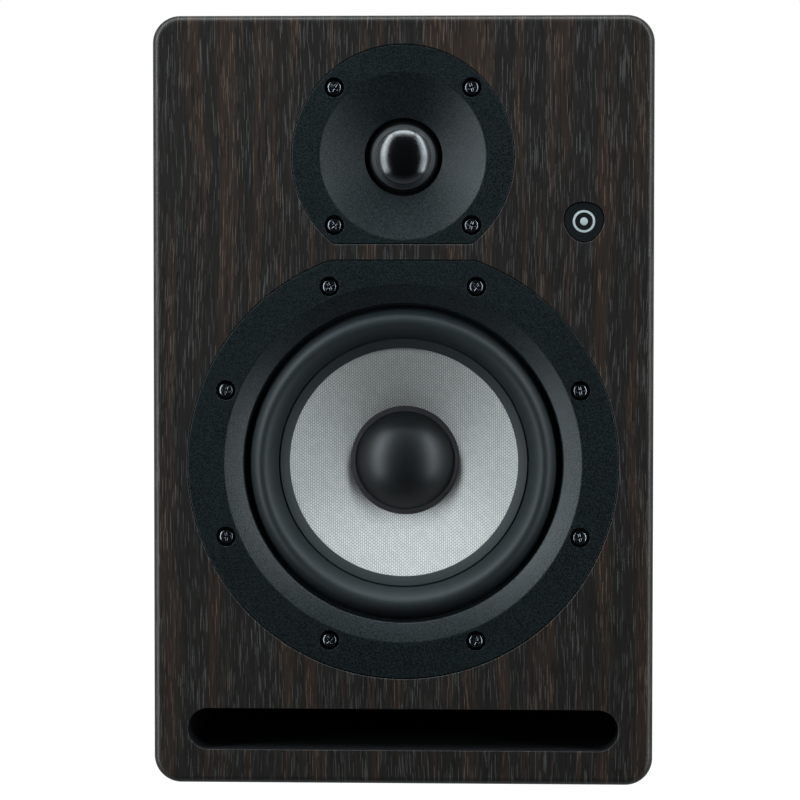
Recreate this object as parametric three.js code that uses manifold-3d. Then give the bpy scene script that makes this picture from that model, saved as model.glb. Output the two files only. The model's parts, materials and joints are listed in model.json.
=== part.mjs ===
// Two-way bookshelf loudspeaker: a wrapped sleeve cabinet with a slot port, a woofer and a dome tweeter
// fixed with screws, and two binding posts in a cup at the back. Millimetres, +Z up, front towards -Y,
// origin at the middle of the base.

import * as THREE from 'three';
import { mergeVertices } from 'three/addons/utils/BufferGeometryUtils.js';
import Module from 'manifold-3d';

const wasm = await Module();
wasm.setup();

// ---------------------------------------------------------------- driving dimensions

const GAP = 0.3; // clearance kept between pieces that touch

const CABINET = {
  width: 220,
  height: 338,
  depth: 270,
  panel: 15, // thickness of the sleeve panels and the back
  baffle: 18,
  cornerRadius: 12, // the four long edges of the sleeve
  frontRadius: 2.8, // roundover of the baffle's front edge
  backInset: 3, // the rear panel sits this far inside the sleeve
};
CABINET.innerWidth = CABINET.width - 2 * CABINET.panel;
CABINET.innerHeight = CABINET.height - 2 * CABINET.panel;
const FRONT_Y = -CABINET.depth / 2;
const BAFFLE_BACK_Y = FRONT_Y + CABINET.baffle;
const BACK_Y = CABINET.depth / 2;
const REAR_FACE_Y = BACK_Y - CABINET.backInset;
const REAR_INSIDE_Y = REAR_FACE_Y - CABINET.panel;

const PORT = { height: 18.2, shelf: 12, length: 195 }; // slot over the full inner width
const BRACE = { y: 10, thickness: 12, windowWidth: 130, windowHeight: 190, windowRadius: 20 };
const LINING = { thickness: 15, bottomZ: 110, topZ: 310 }; // damping pads on both side walls
const BADGE = { x: 79.3, z: 248, radius: 9, thickness: 1.5, faceDepth: 0.2 };

const WOOFER = {
  z: 141.5,
  radius: 94.5, // trim ring
  flat: 89.1, // height of the flat cut above the axis
  fillet: 10,
  recessGap: 0.5,
  recessDepth: 8.3,
  cutout: 78,
  screwCircle: 84.3,
  screws: 8,
  screwLength: 13,
  coneTilt: Math.tan(THREE.MathUtils.degToRad(30)),
  coil: 19, // outer radius of the coil former
};

const TWEETER = {
  z: 276.4,
  radius: 48.6,
  flat: -38,
  fillet: 4,
  recessGap: 0.5,
  recessDepth: 4.9,
  cutout: 37.5,
  screwOffset: 30.1,
  screwLength: 11,
};

const SCREW = { head: 3.3, headHeight: 1.9, shank: 1.9, seat: 2.8, hole: 2.3, well: 4.4, pilotExtra: 0.7 };

const TERMINAL = {
  z: 90,
  flangeWidth: 96,
  flangeHeight: 66,
  cupWidth: 76,
  cupHeight: 48,
  cornerRadius: 8,
  flangeThickness: 2,
  wall: 2.5,
  cutoutGap: 1, // between the cup's wall and the rear panel's cutout
  cupDepth: 22,
  postSpacing: 19.05, // standard distance between paired 4 mm plugs
};

const POST = {
  stud: 3.9,
  socket: 2.1,
  wireHole: 1.4,
  clearance: 0.4,
  cap: 7,
  capLength: 15,
  lobes: 10,
  fluteDepth: 0.9,
};

const BIG_SEGMENTS = 32;
const SMALL_SEGMENTS = 20;
const HOLE_SEGMENTS = 8;
const CORNER_STEPS = 3;
const REACH = 20; // cutting tools run at least this far past what they cut

// ---------------------------------------------------------------- finishes

const finish = (color, roughness, metalness = 0) =>
  new THREE.MeshStandardMaterial({ color, roughness, metalness });

const FINISH = {
  wrap: finish(0x312f2e, 0.55),
  board: finish(0xa48a68, 0.9),
  plastic: finish(0x1c2325, 0.5),
  screw: finish(0x101213, 0.4, 0.6),
  steel: finish(0x2a2d30, 0.5, 0.7),
  ferrite: finish(0x35353a, 0.8),
  rubber: finish(0x2f373a, 0.6),
  glassFibre: finish(0xa6adad, 0.5),
  cap: finish(0x1d2022, 0.6),
  treatedCloth: finish(0xb98f4a, 0.8),
  silk: finish(0x0c0e0f, 0.35),
  former: finish(0xc8b27a, 0.5),
  copper: finish(0xb5652b, 0.35, 0.9),
  gold: finish(0xd6ac54, 0.25, 1),
  red: finish(0xb3161a, 0.35),
  black: finish(0x111213, 0.35),
  foam: finish(0x26272a, 0.95),
  wadding: finish(0xd9d8d2, 1),
  circuitBoard: finish(0x24583a, 0.5),
  capacitor: finish(0xc9a227, 0.4),
  resistor: finish(0xe4e1d8, 0.8),
};

// ---------------------------------------------------------------- geometry helpers

/** Keeps positions only, merges equal vertices and drops triangles that have no area. */
function weld(geometry) {
  const bare = geometry.clone();
  bare.deleteAttribute('normal');
  bare.deleteAttribute('uv');
  const merged = mergeVertices(bare, 1e-4);
  const index = Array.from(merged.index.array);
  const kept = [];
  for (let i = 0; i < index.length; i += 3) {
    const [a, b, c] = index.slice(i, i + 3);
    if (a !== b && b !== c && c !== a) kept.push(a, b, c);
  }
  merged.setIndex(kept);
  return outward(merged);
}

/** Turns every triangle round if the closed surface encloses a negative volume. */
function outward(geometry) {
  const p = geometry.attributes.position;
  const index = geometry.index.array;
  const [a, b, c] = [new THREE.Vector3(), new THREE.Vector3(), new THREE.Vector3()];
  let volume = 0;
  for (let i = 0; i < index.length; i += 3) {
    a.fromBufferAttribute(p, index[i]);
    b.fromBufferAttribute(p, index[i + 1]);
    c.fromBufferAttribute(p, index[i + 2]);
    volume += a.dot(b.cross(c));
  }
  if (volume < 0) geometry.setIndex(Array.from(index).reverse());
  return geometry;
}

function toSolid(geometry) {
  const closed = weld(geometry);
  return new wasm.Manifold(
    new wasm.Mesh({
      numProp: 3,
      vertProperties: new Float32Array(closed.attributes.position.array),
      triVerts: new Uint32Array(closed.index.array),
    }),
  );
}

function toGeometry(solid) {
  const mesh = solid.getMesh();
  const geometry = new THREE.BufferGeometry();
  geometry.setAttribute('position', new THREE.Float32BufferAttribute(mesh.vertProperties, 3));
  geometry.setIndex(Array.from(mesh.triVerts));
  return geometry;
}

const cut = (body, ...tools) =>
  toGeometry(tools.reduce((left, tool) => left.subtract(toSolid(tool)), toSolid(body)));
const join = (...bodies) => toGeometry(bodies.map(toSolid).reduce((whole, body) => whole.add(body)));
const common = (a, b) => toGeometry(toSolid(a).intersect(toSolid(b)));

/** Ring or body of revolution about the Y axis, from [radius, y] points; a ring's outline is closed. */
function turned(outline, segments = SMALL_SEGMENTS) {
  const points = outline.map(([radius, y]) => new THREE.Vector2(radius, y));
  const onAxis = points[0].x === 0 && points.at(-1).x === 0;
  if (!onAxis) points.push(points[0].clone());
  return weld(new THREE.LatheGeometry(points, segments));
}

const ring = (inner, outer, y0, y1, segments) =>
  turned([[inner, y0], [outer, y0], [outer, y1], [inner, y1]], segments);

/** Outline drawn in X and Z, extruded from y0 to y1. */
function extrudedY(shape, y0, y1) {
  const options = { depth: y1 - y0, bevelEnabled: false };
  return weld(new THREE.ExtrudeGeometry(shape, options).rotateX(Math.PI / 2).translate(0, y1, 0));
}

const rodY = (radius, x, z, y0, y1, segments = HOLE_SEGMENTS) =>
  weld(new THREE.CylinderGeometry(radius, radius, y1 - y0, segments).translate(x, (y0 + y1) / 2, z));

function block(x0, x1, y0, y1, z0, z1) {
  const box = new THREE.BoxGeometry(x1 - x0, y1 - y0, z1 - z0);
  return weld(box.translate((x0 + x1) / 2, (y0 + y1) / 2, (z0 + z1) / 2));
}

/** Points of an arc in X and Z, both ends included. */
const arc = (x, z, radius, from, to, steps) =>
  Array.from({ length: steps + 1 }, (_, i) => {
    const angle = from + ((to - from) * i) / steps;
    return new THREE.Vector2(x + radius * Math.cos(angle), z + radius * Math.sin(angle));
  });

function roundedRectangle(width, height, radius, centreZ = 0, Outline = THREE.Shape, steps = CORNER_STEPS) {
  const [x, z] = [width / 2 - radius, height / 2 - radius];
  const quarter = Math.PI / 2;
  return new Outline([
    ...arc(x, centreZ + z, radius, 0, quarter, steps),
    ...arc(-x, centreZ + z, radius, quarter, 2 * quarter, steps),
    ...arc(-x, centreZ - z, radius, 2 * quarter, 3 * quarter, steps),
    ...arc(x, centreZ - z, radius, 3 * quarter, 4 * quarter, steps),
  ]);
}

/** Disc with one flat edge, above the centre or below it, whose two corners are blended with a fillet. */
function flattedDisc(radius, flat, fillet) {
  const filletZ = Math.abs(flat) - fillet;
  const filletX = Math.sqrt((radius - fillet) ** 2 - filletZ ** 2);
  const blend = Math.atan2(filletZ, filletX);
  const points = [
    ...arc(-filletX, filletZ, fillet, Math.PI / 2, Math.PI - blend, CORNER_STEPS),
    ...arc(0, 0, radius, Math.PI - blend, 2 * Math.PI + blend, BIG_SEGMENTS).slice(1, -1),
    ...arc(filletX, filletZ, fillet, blend, Math.PI / 2, CORNER_STEPS),
  ];
  const turn = flat > 0 ? 0 : Math.PI;
  return new THREE.Shape(points.map((point) => point.rotateAround(new THREE.Vector2(), turn)));
}

const around = (count, radius, firstAngle) =>
  Array.from({ length: count }, (_, i) => {
    const angle = THREE.MathUtils.degToRad(firstAngle + (360 / count) * i);
    return [radius * Math.cos(angle), radius * Math.sin(angle)];
  });

const wooferScrewPlaces = around(WOOFER.screws, WOOFER.screwCircle, 180 / WOOFER.screws);
const tweeterScrewPlaces = around(4, TWEETER.screwOffset * Math.SQRT2, 45);

const wooferOutline = (inset = 0) =>
  flattedDisc(WOOFER.radius - inset, WOOFER.flat - inset, WOOFER.fillet);
const tweeterOutline = (grow = 0) =>
  flattedDisc(TWEETER.radius + grow, TWEETER.flat - grow, TWEETER.fillet);

// ---------------------------------------------------------------- scene graph

const speaker = new THREE.Group();
const woofer = new THREE.Group();
const tweeter = new THREE.Group();
const terminals = new THREE.Group();
woofer.position.set(0, FRONT_Y, WOOFER.z); // inside both driver groups y is the depth behind the front
tweeter.position.set(0, FRONT_Y, TWEETER.z);
terminals.position.set(0, REAR_FACE_Y, TERMINAL.z); // y is the height above the rear panel
speaker.add(woofer, tweeter, terminals);

function addPiece(group, name, geometry, material) {
  const mesh = new THREE.Mesh(geometry, material);
  mesh.name = name;
  group.add(mesh);
  return mesh;
}

// ---------------------------------------------------------------- cabinet

const portTopZ = CABINET.panel + PORT.height;
const centreZ = CABINET.height / 2;

function baffleGeometry() {
  const { width, height, baffle, cornerRadius, frontRadius } = CABINET;
  const outline = roundedRectangle(width, height, cornerRadius, centreZ, THREE.Shape, 2 * CORNER_STEPS);
  const plate = new THREE.ExtrudeGeometry(outline, {
    depth: baffle,
    bevelThickness: frontRadius,
    bevelSize: frontRadius,
    bevelOffset: -frontRadius,
    bevelSegments: 3,
  });
  plate.rotateX(Math.PI / 2).translate(0, BAFFLE_BACK_Y + frontRadius, 0);
  const behind = block(-width, width, BAFFLE_BACK_Y, BAFFLE_BACK_Y + REACH, -REACH, height + REACH);

  const before = FRONT_Y - REACH;
  const through = BAFFLE_BACK_Y + REACH;
  const wooferRecess = extrudedY(wooferOutline(-WOOFER.recessGap), before, FRONT_Y + WOOFER.recessDepth);
  const tweeterRecess = extrudedY(tweeterOutline(TWEETER.recessGap), before, FRONT_Y + TWEETER.recessDepth);
  const slot = roundedRectangle(
    CABINET.innerWidth, PORT.height, PORT.height / 2, CABINET.panel + PORT.height / 2);
  const badgeFloor = FRONT_Y + BADGE.faceDepth + BADGE.thickness + GAP;
  const pilots = [
    ...wooferScrewPlaces.map(([x, z]) => [x, WOOFER.z + z, WOOFER.screwLength]),
    ...tweeterScrewPlaces.map(([x, z]) => [x, TWEETER.z + z, TWEETER.screwLength]),
  ].map(([x, z, length]) => {
    const end = FRONT_Y + SCREW.seat + length + SCREW.pilotExtra;
    return rodY(SCREW.hole, x, z, before, end);
  });

  return cut(
    plate,
    behind,
    wooferRecess.translate(0, 0, WOOFER.z),
    rodY(WOOFER.cutout, 0, WOOFER.z, before, through, BIG_SEGMENTS),
    tweeterRecess.translate(0, 0, TWEETER.z),
    rodY(TWEETER.cutout, 0, TWEETER.z, before, through, BIG_SEGMENTS),
    extrudedY(slot, before, through),
    rodY(BADGE.radius + GAP, BADGE.x, BADGE.z, before, badgeFloor, SMALL_SEGMENTS),
    ...pilots,
  );
}

/** One wall of the sleeve, drawn with its outside at +Z and mitred through the rounded corners. */
function sleevePanel(span) {
  const { panel, cornerRadius, depth } = CABINET;
  const half = span / 2;
  const mitreGap = GAP / Math.SQRT2;
  const arcCentre = half - cornerRadius;
  const clip = Math.asin(mitreGap / (Math.SQRT2 * cornerRadius));
  const shape = new THREE.Shape([
    new THREE.Vector2(-(half - panel - mitreGap), -panel),
    new THREE.Vector2(half - panel - mitreGap, -panel),
    ...arc(arcCentre, -cornerRadius, cornerRadius, Math.PI / 4 + clip, Math.PI / 2, CORNER_STEPS),
    ...arc(-arcCentre, -cornerRadius, cornerRadius, Math.PI / 2, 0.75 * Math.PI - clip, CORNER_STEPS),
  ]);
  return extrudedY(shape, BAFFLE_BACK_Y + GAP, FRONT_Y + depth);
}

for (const [name, span, angle, x, z] of [
  ['top_panel', CABINET.width, 0, 0, CABINET.height],
  ['left_side_panel', CABINET.height, -Math.PI / 2, -CABINET.width / 2, centreZ],
  ['bottom_panel', CABINET.width, Math.PI, 0, 0],
  ['right_side_panel', CABINET.height, Math.PI / 2, CABINET.width / 2, centreZ],
]) {
  const panel = addPiece(speaker, name, sleevePanel(span), FINISH.wrap);
  panel.rotation.y = angle;
  panel.position.set(x, 0, z);
}

addPiece(speaker, 'front_baffle', baffleGeometry(), FINISH.wrap);

const edgeRadius = 1; // corners of the boards that sit inside the sleeve
const rearOutline = roundedRectangle(
  CABINET.innerWidth - 2 * GAP, CABINET.innerHeight - 2 * GAP, edgeRadius, centreZ);
const cutoutMargin = 2 * TERMINAL.wall + 2 * TERMINAL.cutoutGap;
rearOutline.holes.push(
  roundedRectangle(TERMINAL.cupWidth + cutoutMargin, TERMINAL.cupHeight + cutoutMargin,
    TERMINAL.cornerRadius, TERMINAL.z, THREE.Path),
);
addPiece(speaker, 'rear_panel', extrudedY(rearOutline, REAR_INSIDE_Y, REAR_FACE_Y), FINISH.wrap);

const innerHalf = CABINET.innerWidth / 2 - GAP;
addPiece(
  speaker,
  'port_shelf',
  block(-innerHalf, innerHalf, BAFFLE_BACK_Y + GAP, FRONT_Y + PORT.length, portTopZ, portTopZ + PORT.shelf),
  FINISH.board,
);

const braceBottom = portTopZ + PORT.shelf + GAP;
const braceTop = CABINET.height - CABINET.panel - GAP;
const braceCentre = (braceBottom + braceTop) / 2;
const braceBackY = BRACE.y + BRACE.thickness;
const braceOutline = roundedRectangle(2 * innerHalf, braceTop - braceBottom, edgeRadius, braceCentre);
braceOutline.holes.push(
  roundedRectangle(BRACE.windowWidth, BRACE.windowHeight, BRACE.windowRadius, braceCentre, THREE.Path),
);
addPiece(speaker, 'window_brace', extrudedY(braceOutline, BRACE.y, braceBackY), FINISH.board);

const padCentreX = innerHalf - LINING.thickness / 2;
for (const [name, x] of [['left_damping_pad', -padCentreX], ['right_damping_pad', padCentreX]]) {
  const half = LINING.thickness / 2;
  const pad = block(x - half, x + half, braceBackY + GAP, REAR_INSIDE_Y - GAP, LINING.bottomZ, LINING.topZ);
  addPiece(speaker, name, pad, FINISH.wadding);
}

const badgeFaceY = FRONT_Y + BADGE.faceDepth;
addPiece(
  speaker,
  'badge_disc',
  rodY(BADGE.radius, BADGE.x, BADGE.z, badgeFaceY, badgeFaceY + BADGE.thickness, SMALL_SEGMENTS),
  FINISH.plastic,
);

// ---------------------------------------------------------------- screws

/** Pan-head wood screw pointing along +Y, with the underside of its head at y = 0. */
function screwGeometry(length) {
  const { head, headHeight, shank } = SCREW;
  return turned(
    [[0, -headHeight], [0.7 * head, -headHeight], [head, -0.5 * headHeight], [head, 0], [shank, 0],
      [shank, length - 2 * shank], [0, length]],
    HOLE_SEGMENTS,
  );
}

for (const [group, name, places, length] of [
  [woofer, 'woofer_screw', wooferScrewPlaces, WOOFER.screwLength],
  [tweeter, 'tweeter_screw', tweeterScrewPlaces, TWEETER.screwLength],
]) {
  places.forEach(([x, z], i) => {
    const screw = addPiece(group, `${name}_${i + 1}`, screwGeometry(length), FINISH.screw);
    screw.position.set(x, SCREW.seat, z);
  });
}

const screwHoles = (places) => places.map(([x, z]) => rodY(SCREW.hole, x, z, -REACH, REACH));
const screwWells = (places) => places.map(([x, z]) => rodY(SCREW.well, x, z, -REACH, SCREW.seat + GAP));

// ---------------------------------------------------------------- woofer, fixed pieces

const TRIM = {
  face: 0.2,
  back: 4.6,
  bevelOuter: 78.9,
  bevelInner: 70.1,
  bevelDepth: 5.2,
  skirt: 73,
  foot: 10.6,
};
const OVERSIZE = 100; // blanks are turned to this radius, then trimmed to the flatted outline
const plateOutline = (shape) => extrudedY(shape, -REACH, REACH);

const trimBlank = turned(
  [
    [TRIM.bevelInner, TRIM.bevelDepth], [TRIM.bevelOuter, TRIM.face], [OVERSIZE, TRIM.face],
    [OVERSIZE, TRIM.back], [TRIM.skirt, TRIM.back], [TRIM.skirt, TRIM.foot], [TRIM.bevelInner, TRIM.foot],
  ],
  BIG_SEGMENTS,
);
addPiece(
  woofer,
  'woofer_trim_ring',
  cut(common(trimBlank, plateOutline(wooferOutline())), ...screwHoles(wooferScrewPlaces),
    ...screwWells(wooferScrewPlaces)),
  FINISH.plastic,
);

const BASKET = {
  front: TRIM.back + GAP, // flange, clamped between the trim ring and the baffle
  back: 6.9,
  inset: 0.5, // the flange is this much smaller than the trim ring
  wall: 2,
  body: 76.6, // radius of the wall that passes through the cutout
  ledge: 68, // inner radius of the ledge that the surround is glued to
  ledgeDepth: 11.7,
  cage: 46.5, // the cage tapers to this radius
  spiderLedge: 41,
  spiderDepth: 38.5,
  plate: 30,
  plateBack: 49.7,
};
const { wall } = BASKET;
const basketBlank = turned(
  [
    [OVERSIZE, BASKET.front], [BASKET.body - wall, BASKET.front], [BASKET.body - wall, BASKET.ledgeDepth],
    [BASKET.ledge, BASKET.ledgeDepth], [BASKET.ledge, BASKET.ledgeDepth + wall],
    [BASKET.cage, BASKET.spiderDepth], [BASKET.spiderLedge, BASKET.spiderDepth],
    [BASKET.spiderLedge, BASKET.spiderDepth + wall], [BASKET.cage - 1.5, BASKET.spiderDepth + wall],
    [BASKET.cage - 1.5, BASKET.plateBack - wall], [BASKET.plate, BASKET.plateBack - wall],
    [BASKET.plate, BASKET.plateBack], [BASKET.cage + 1.5, BASKET.plateBack],
    [BASKET.cage + 1.5, BASKET.spiderDepth + 1.3], [BASKET.ledge + 1.5, BASKET.ledgeDepth + 3.3],
    [BASKET.body, BASKET.ledgeDepth + wall], [BASKET.body, BASKET.back], [OVERSIZE, BASKET.back],
  ],
  BIG_SEGMENTS,
);

const WINDOW = { count: 6, halfAngle: Math.PI / 9, inner: 30, outer: 90, front: 17.5, back: 36.5 };
const basketWindows = Array.from({ length: WINDOW.count }, (_, i) => {
  const angle = (Math.PI * (2 * i + 1)) / WINDOW.count;
  const [from, to] = [angle - WINDOW.halfAngle, angle + WINDOW.halfAngle];
  const edges = [...arc(0, 0, WINDOW.outer, from, to, 2), ...arc(0, 0, WINDOW.inner, to, from, 2)];
  return extrudedY(new THREE.Shape(edges), WINDOW.front, WINDOW.back);
});
const basketOutline = extrudedY(wooferOutline(BASKET.inset), 0, BASKET.plateBack + REACH);
addPiece(
  woofer,
  'woofer_basket',
  cut(common(basketBlank, basketOutline), ...basketWindows, ...screwHoles(wooferScrewPlaces)),
  FINISH.steel,
);

const gasketInset = 1;
const gasketBlank = extrudedY(wooferOutline(gasketInset), BASKET.back + GAP, WOOFER.recessDepth - GAP);
const gasketBore = rodY(WOOFER.cutout + gasketInset, 0, 0, -REACH, REACH, BIG_SEGMENTS);
addPiece(
  woofer,
  'woofer_gasket',
  cut(gasketBlank, gasketBore, ...screwHoles(wooferScrewPlaces)),
  FINISH.foam,
);

const MOTOR = {
  front: 50,
  plate: 6,
  magnet: 14,
  yoke: 6,
  radius: 46,
  magnetRadius: 52,
  magnetBore: 27,
  airGap: 21,
  pole: 17.8,
  vent: 5,
};
const plateBack = MOTOR.front + MOTOR.plate;
const magnetFront = plateBack + GAP;
const yokeFront = magnetFront + MOTOR.magnet + GAP;
const yokeBack = yokeFront + MOTOR.yoke;
addPiece(woofer, 'woofer_top_plate', ring(MOTOR.airGap, MOTOR.radius, MOTOR.front, plateBack), FINISH.steel);
addPiece(
  woofer,
  'woofer_magnet',
  ring(MOTOR.magnetBore, MOTOR.magnetRadius, magnetFront, magnetFront + MOTOR.magnet),
  FINISH.ferrite,
);
addPiece(
  woofer,
  'woofer_yoke',
  turned([[MOTOR.vent, MOTOR.front], [MOTOR.pole, MOTOR.front], [MOTOR.pole, yokeFront],
    [MOTOR.radius, yokeFront], [MOTOR.radius, yokeBack], [MOTOR.vent, yokeBack]]),
  FINISH.steel,
);

const STRIP = { halfWidth: 12, front: 28, back: 31, bottom: -58, top: -52 }; // where the leads are soldered
addPiece(
  woofer,
  'woofer_terminal_strip',
  block(-STRIP.halfWidth, STRIP.halfWidth, STRIP.front, STRIP.back, STRIP.bottom, STRIP.top),
  FINISH.board,
);

// ---------------------------------------------------------------- woofer, moving pieces

const CONE = {
  outer: 55.2,
  inner: WOOFER.coil + 2 * GAP,
  thickness: 0.8,
  edgeRadius: 50.6, // where the surround's glued lip ends
  edgeDepth: 13.9,
};
const coneDepth = (radius) => CONE.edgeDepth + (CONE.edgeRadius - radius) * WOOFER.coneTilt;

addPiece(
  woofer,
  'woofer_cone',
  turned(
    [
      [CONE.inner, coneDepth(CONE.inner)],
      [CONE.outer, coneDepth(CONE.outer)],
      [CONE.outer, coneDepth(CONE.outer) + CONE.thickness],
      [CONE.inner, coneDepth(CONE.inner) + CONE.thickness],
    ],
    BIG_SEGMENTS,
  ),
  FINISH.glassFibre,
);

/** Points of an arc that stands `rise` in front of its foot line, from one foot to the other. */
function crown(fromRadius, toRadius, footDepth, rise, steps) {
  return Array.from({ length: steps + 1 }, (_, i) => {
    const t = i / steps;
    return [fromRadius + (toRadius - fromRadius) * t, footDepth - rise * Math.sin(Math.PI * t)];
  });
}

const DUST_CAP = { lip: 24.5, base: 21.9, footDepth: 28, sphere: 26, wall: 0.6 };
const capCentre = DUST_CAP.footDepth + Math.sqrt(DUST_CAP.sphere ** 2 - DUST_CAP.base ** 2);
function capArc(sphere, base, steps = 5) {
  const widest = Math.asin(base / sphere);
  return Array.from({ length: steps + 1 }, (_, i) => {
    const angle = (widest * i) / steps;
    return [sphere * Math.sin(angle), capCentre - sphere * Math.cos(angle)];
  });
}
const capInside = capArc(DUST_CAP.sphere - DUST_CAP.wall, DUST_CAP.base - DUST_CAP.wall).reverse();
const lipBack = DUST_CAP.footDepth + DUST_CAP.wall;
addPiece(
  woofer,
  'woofer_dust_cap',
  turned([
    ...capArc(DUST_CAP.sphere, DUST_CAP.base), [DUST_CAP.lip, DUST_CAP.footDepth],
    [DUST_CAP.lip, lipBack], [DUST_CAP.base - DUST_CAP.wall, lipBack], ...capInside,
  ]),
  FINISH.cap,
);

const COIL = { halfLength: 7, wire: 1.2, paper: 0.4, formerFront: 29.8, formerTail: 0.5 };
const coilCentre = MOTOR.front + MOTOR.plate / 2;
const windingEnds = [coilCentre - COIL.halfLength, coilCentre + COIL.halfLength];
addPiece(
  woofer,
  'woofer_coil_former',
  ring(WOOFER.coil - COIL.paper, WOOFER.coil, COIL.formerFront, windingEnds[1] + COIL.formerTail),
  FINISH.former,
);
addPiece(
  woofer,
  'woofer_coil_winding',
  ring(WOOFER.coil + GAP, WOOFER.coil + COIL.wire, ...windingEnds),
  FINISH.copper,
);

const ROLL = { outer: 68.9, inner: 55.5, footDepth: 10.9, rise: 6.5, wall: 0.6, rim: 72.7, steps: 6 };
const rimBack = ROLL.footDepth + 0.5;
const lipFront = coneDepth(CONE.edgeRadius) - CONE.thickness - GAP; // glued to the front of the cone
const rollFront = crown(ROLL.outer, ROLL.inner, ROLL.footDepth, ROLL.rise, ROLL.steps);
const rollBack = crown(
  ROLL.inner + ROLL.wall, ROLL.outer - ROLL.wall, ROLL.footDepth, ROLL.rise - ROLL.wall, ROLL.steps);
addPiece(
  woofer,
  'woofer_surround',
  turned(
    [
      [ROLL.rim, ROLL.footDepth], ...rollFront, [CONE.edgeRadius, lipFront],
      [CONE.edgeRadius, coneDepth(CONE.edgeRadius) - GAP], [CONE.outer, coneDepth(CONE.outer) - GAP],
      ...rollBack.slice(1, -1), [ROLL.outer - ROLL.wall, rimBack], [ROLL.rim, rimBack],
    ],
    BIG_SEGMENTS,
  ),
  FINISH.rubber,
);

const SPIDER = {
  inner: WOOFER.coil + GAP,
  outer: 46,
  depth: 37.6,
  wall: 0.5,
  waves: 5,
  waveStart: 3, // flat neck before the first wave
  waveStep: 4,
  waveHeight: 1,
};
const spiderFront = Array.from({ length: SPIDER.waves }, (_, i) => [
  SPIDER.inner + SPIDER.waveStart + i * SPIDER.waveStep,
  SPIDER.depth + (i % 2 ? SPIDER.waveHeight : -SPIDER.waveHeight),
]);
const spiderOutline = [[SPIDER.inner, SPIDER.depth], ...spiderFront, [SPIDER.outer, SPIDER.depth]];
addPiece(
  woofer,
  'woofer_spider',
  turned([...spiderOutline, ...spiderOutline.map(([radius, y]) => [radius, y + SPIDER.wall]).reverse()]),
  FINISH.treatedCloth,
);

const LEAD = { radius: 0.8, sides: 8, steps: 8, x: 8, coneX: 6, coneZ: -30 };
const leadStart = coneDepth(-LEAD.coneZ) + 2.5; // clear of the back of the cone
for (const [name, side] of [['woofer_left_lead', -1], ['woofer_right_lead', 1]]) {
  const path = new THREE.CatmullRomCurve3([
    new THREE.Vector3(side * LEAD.coneX, leadStart, LEAD.coneZ),
    new THREE.Vector3(side * LEAD.x, leadStart + 3, LEAD.coneZ - 7),
    new THREE.Vector3(side * LEAD.x, STRIP.back, STRIP.top + 7),
    new THREE.Vector3(side * LEAD.x, (STRIP.front + STRIP.back) / 2, STRIP.top + LEAD.radius),
  ]);
  const section = new THREE.Shape(arc(0, 0, LEAD.radius, 0, 2 * Math.PI, LEAD.sides).slice(0, -1));
  const options = { extrudePath: path, steps: LEAD.steps };
  addPiece(woofer, name, weld(new THREE.ExtrudeGeometry(section, options)), FINISH.copper);
}

// ---------------------------------------------------------------- tweeter

const PLATE = { back: 4.4, body: 36.8, bodyDepth: 6.5 }; // faceplate; its body passes into the cutout
const THROAT = { edge: 36.7, radius: 17.2, depth: 9, back: 11.2, backRadius: 30 };
/** Depth of the dish at a radius: steep at the throat and easing out to the plate's face. */
const dishDepth = (radius) => {
  const t = (radius - THROAT.radius) / (THROAT.edge - THROAT.radius);
  return TRIM.face + (THROAT.depth - TRIM.face) * (1 - t ** 1.3) ** 1.15;
};
const dish = [0, 0.15, 0.35, 0.6, 0.85, 1].map((t) => {
  const radius = THROAT.radius + (THROAT.edge - THROAT.radius) * t;
  return [radius, dishDepth(radius)];
});
const faceplateBlank = turned(
  [...dish, [OVERSIZE, TRIM.face], [OVERSIZE, PLATE.back], [PLATE.body, PLATE.back],
    [PLATE.body, PLATE.bodyDepth], [THROAT.backRadius, THROAT.back], [THROAT.radius, THROAT.back]],
  BIG_SEGMENTS,
);
addPiece(
  tweeter,
  'tweeter_faceplate',
  cut(common(faceplateBlank, plateOutline(tweeterOutline())), ...screwHoles(tweeterScrewPlaces),
    ...screwWells(tweeterScrewPlaces)),
  FINISH.plastic,
);

const DOME = { radius: 13.2, foot: 11.3, rise: 5.8, wall: 0.5 };
const domeSphere = (DOME.radius ** 2 + DOME.rise ** 2) / (2 * DOME.rise);
const domeCentre = DOME.foot - DOME.rise + domeSphere;
function domeArc(sphere, steps = 5) {
  const widest = Math.acos((domeCentre - DOME.foot) / sphere);
  return Array.from({ length: steps + 1 }, (_, i) => {
    const angle = (widest * i) / steps;
    return [sphere * Math.sin(angle), domeCentre - sphere * Math.cos(angle)];
  });
}
const domeWall = [...domeArc(domeSphere), ...domeArc(domeSphere - DOME.wall).reverse()];
addPiece(tweeter, 'tweeter_dome', turned(domeWall), FINISH.silk);

const RIPPLE = { inner: DOME.radius + GAP, width: 2, foot: 11.5, rise: 0.9, rim: 22, wall: 0.4, steps: 4 };
const rippleBack = RIPPLE.foot + RIPPLE.wall;
addPiece(
  tweeter,
  'tweeter_surround',
  turned([
    ...crown(RIPPLE.inner, RIPPLE.inner + RIPPLE.width, RIPPLE.foot, RIPPLE.rise, RIPPLE.steps),
    [RIPPLE.rim, RIPPLE.foot], [RIPPLE.rim, rippleBack],
    ...crown(RIPPLE.inner + RIPPLE.width - GAP, RIPPLE.inner + GAP, rippleBack, RIPPLE.rise, RIPPLE.steps),
  ]),
  FINISH.silk,
);

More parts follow.
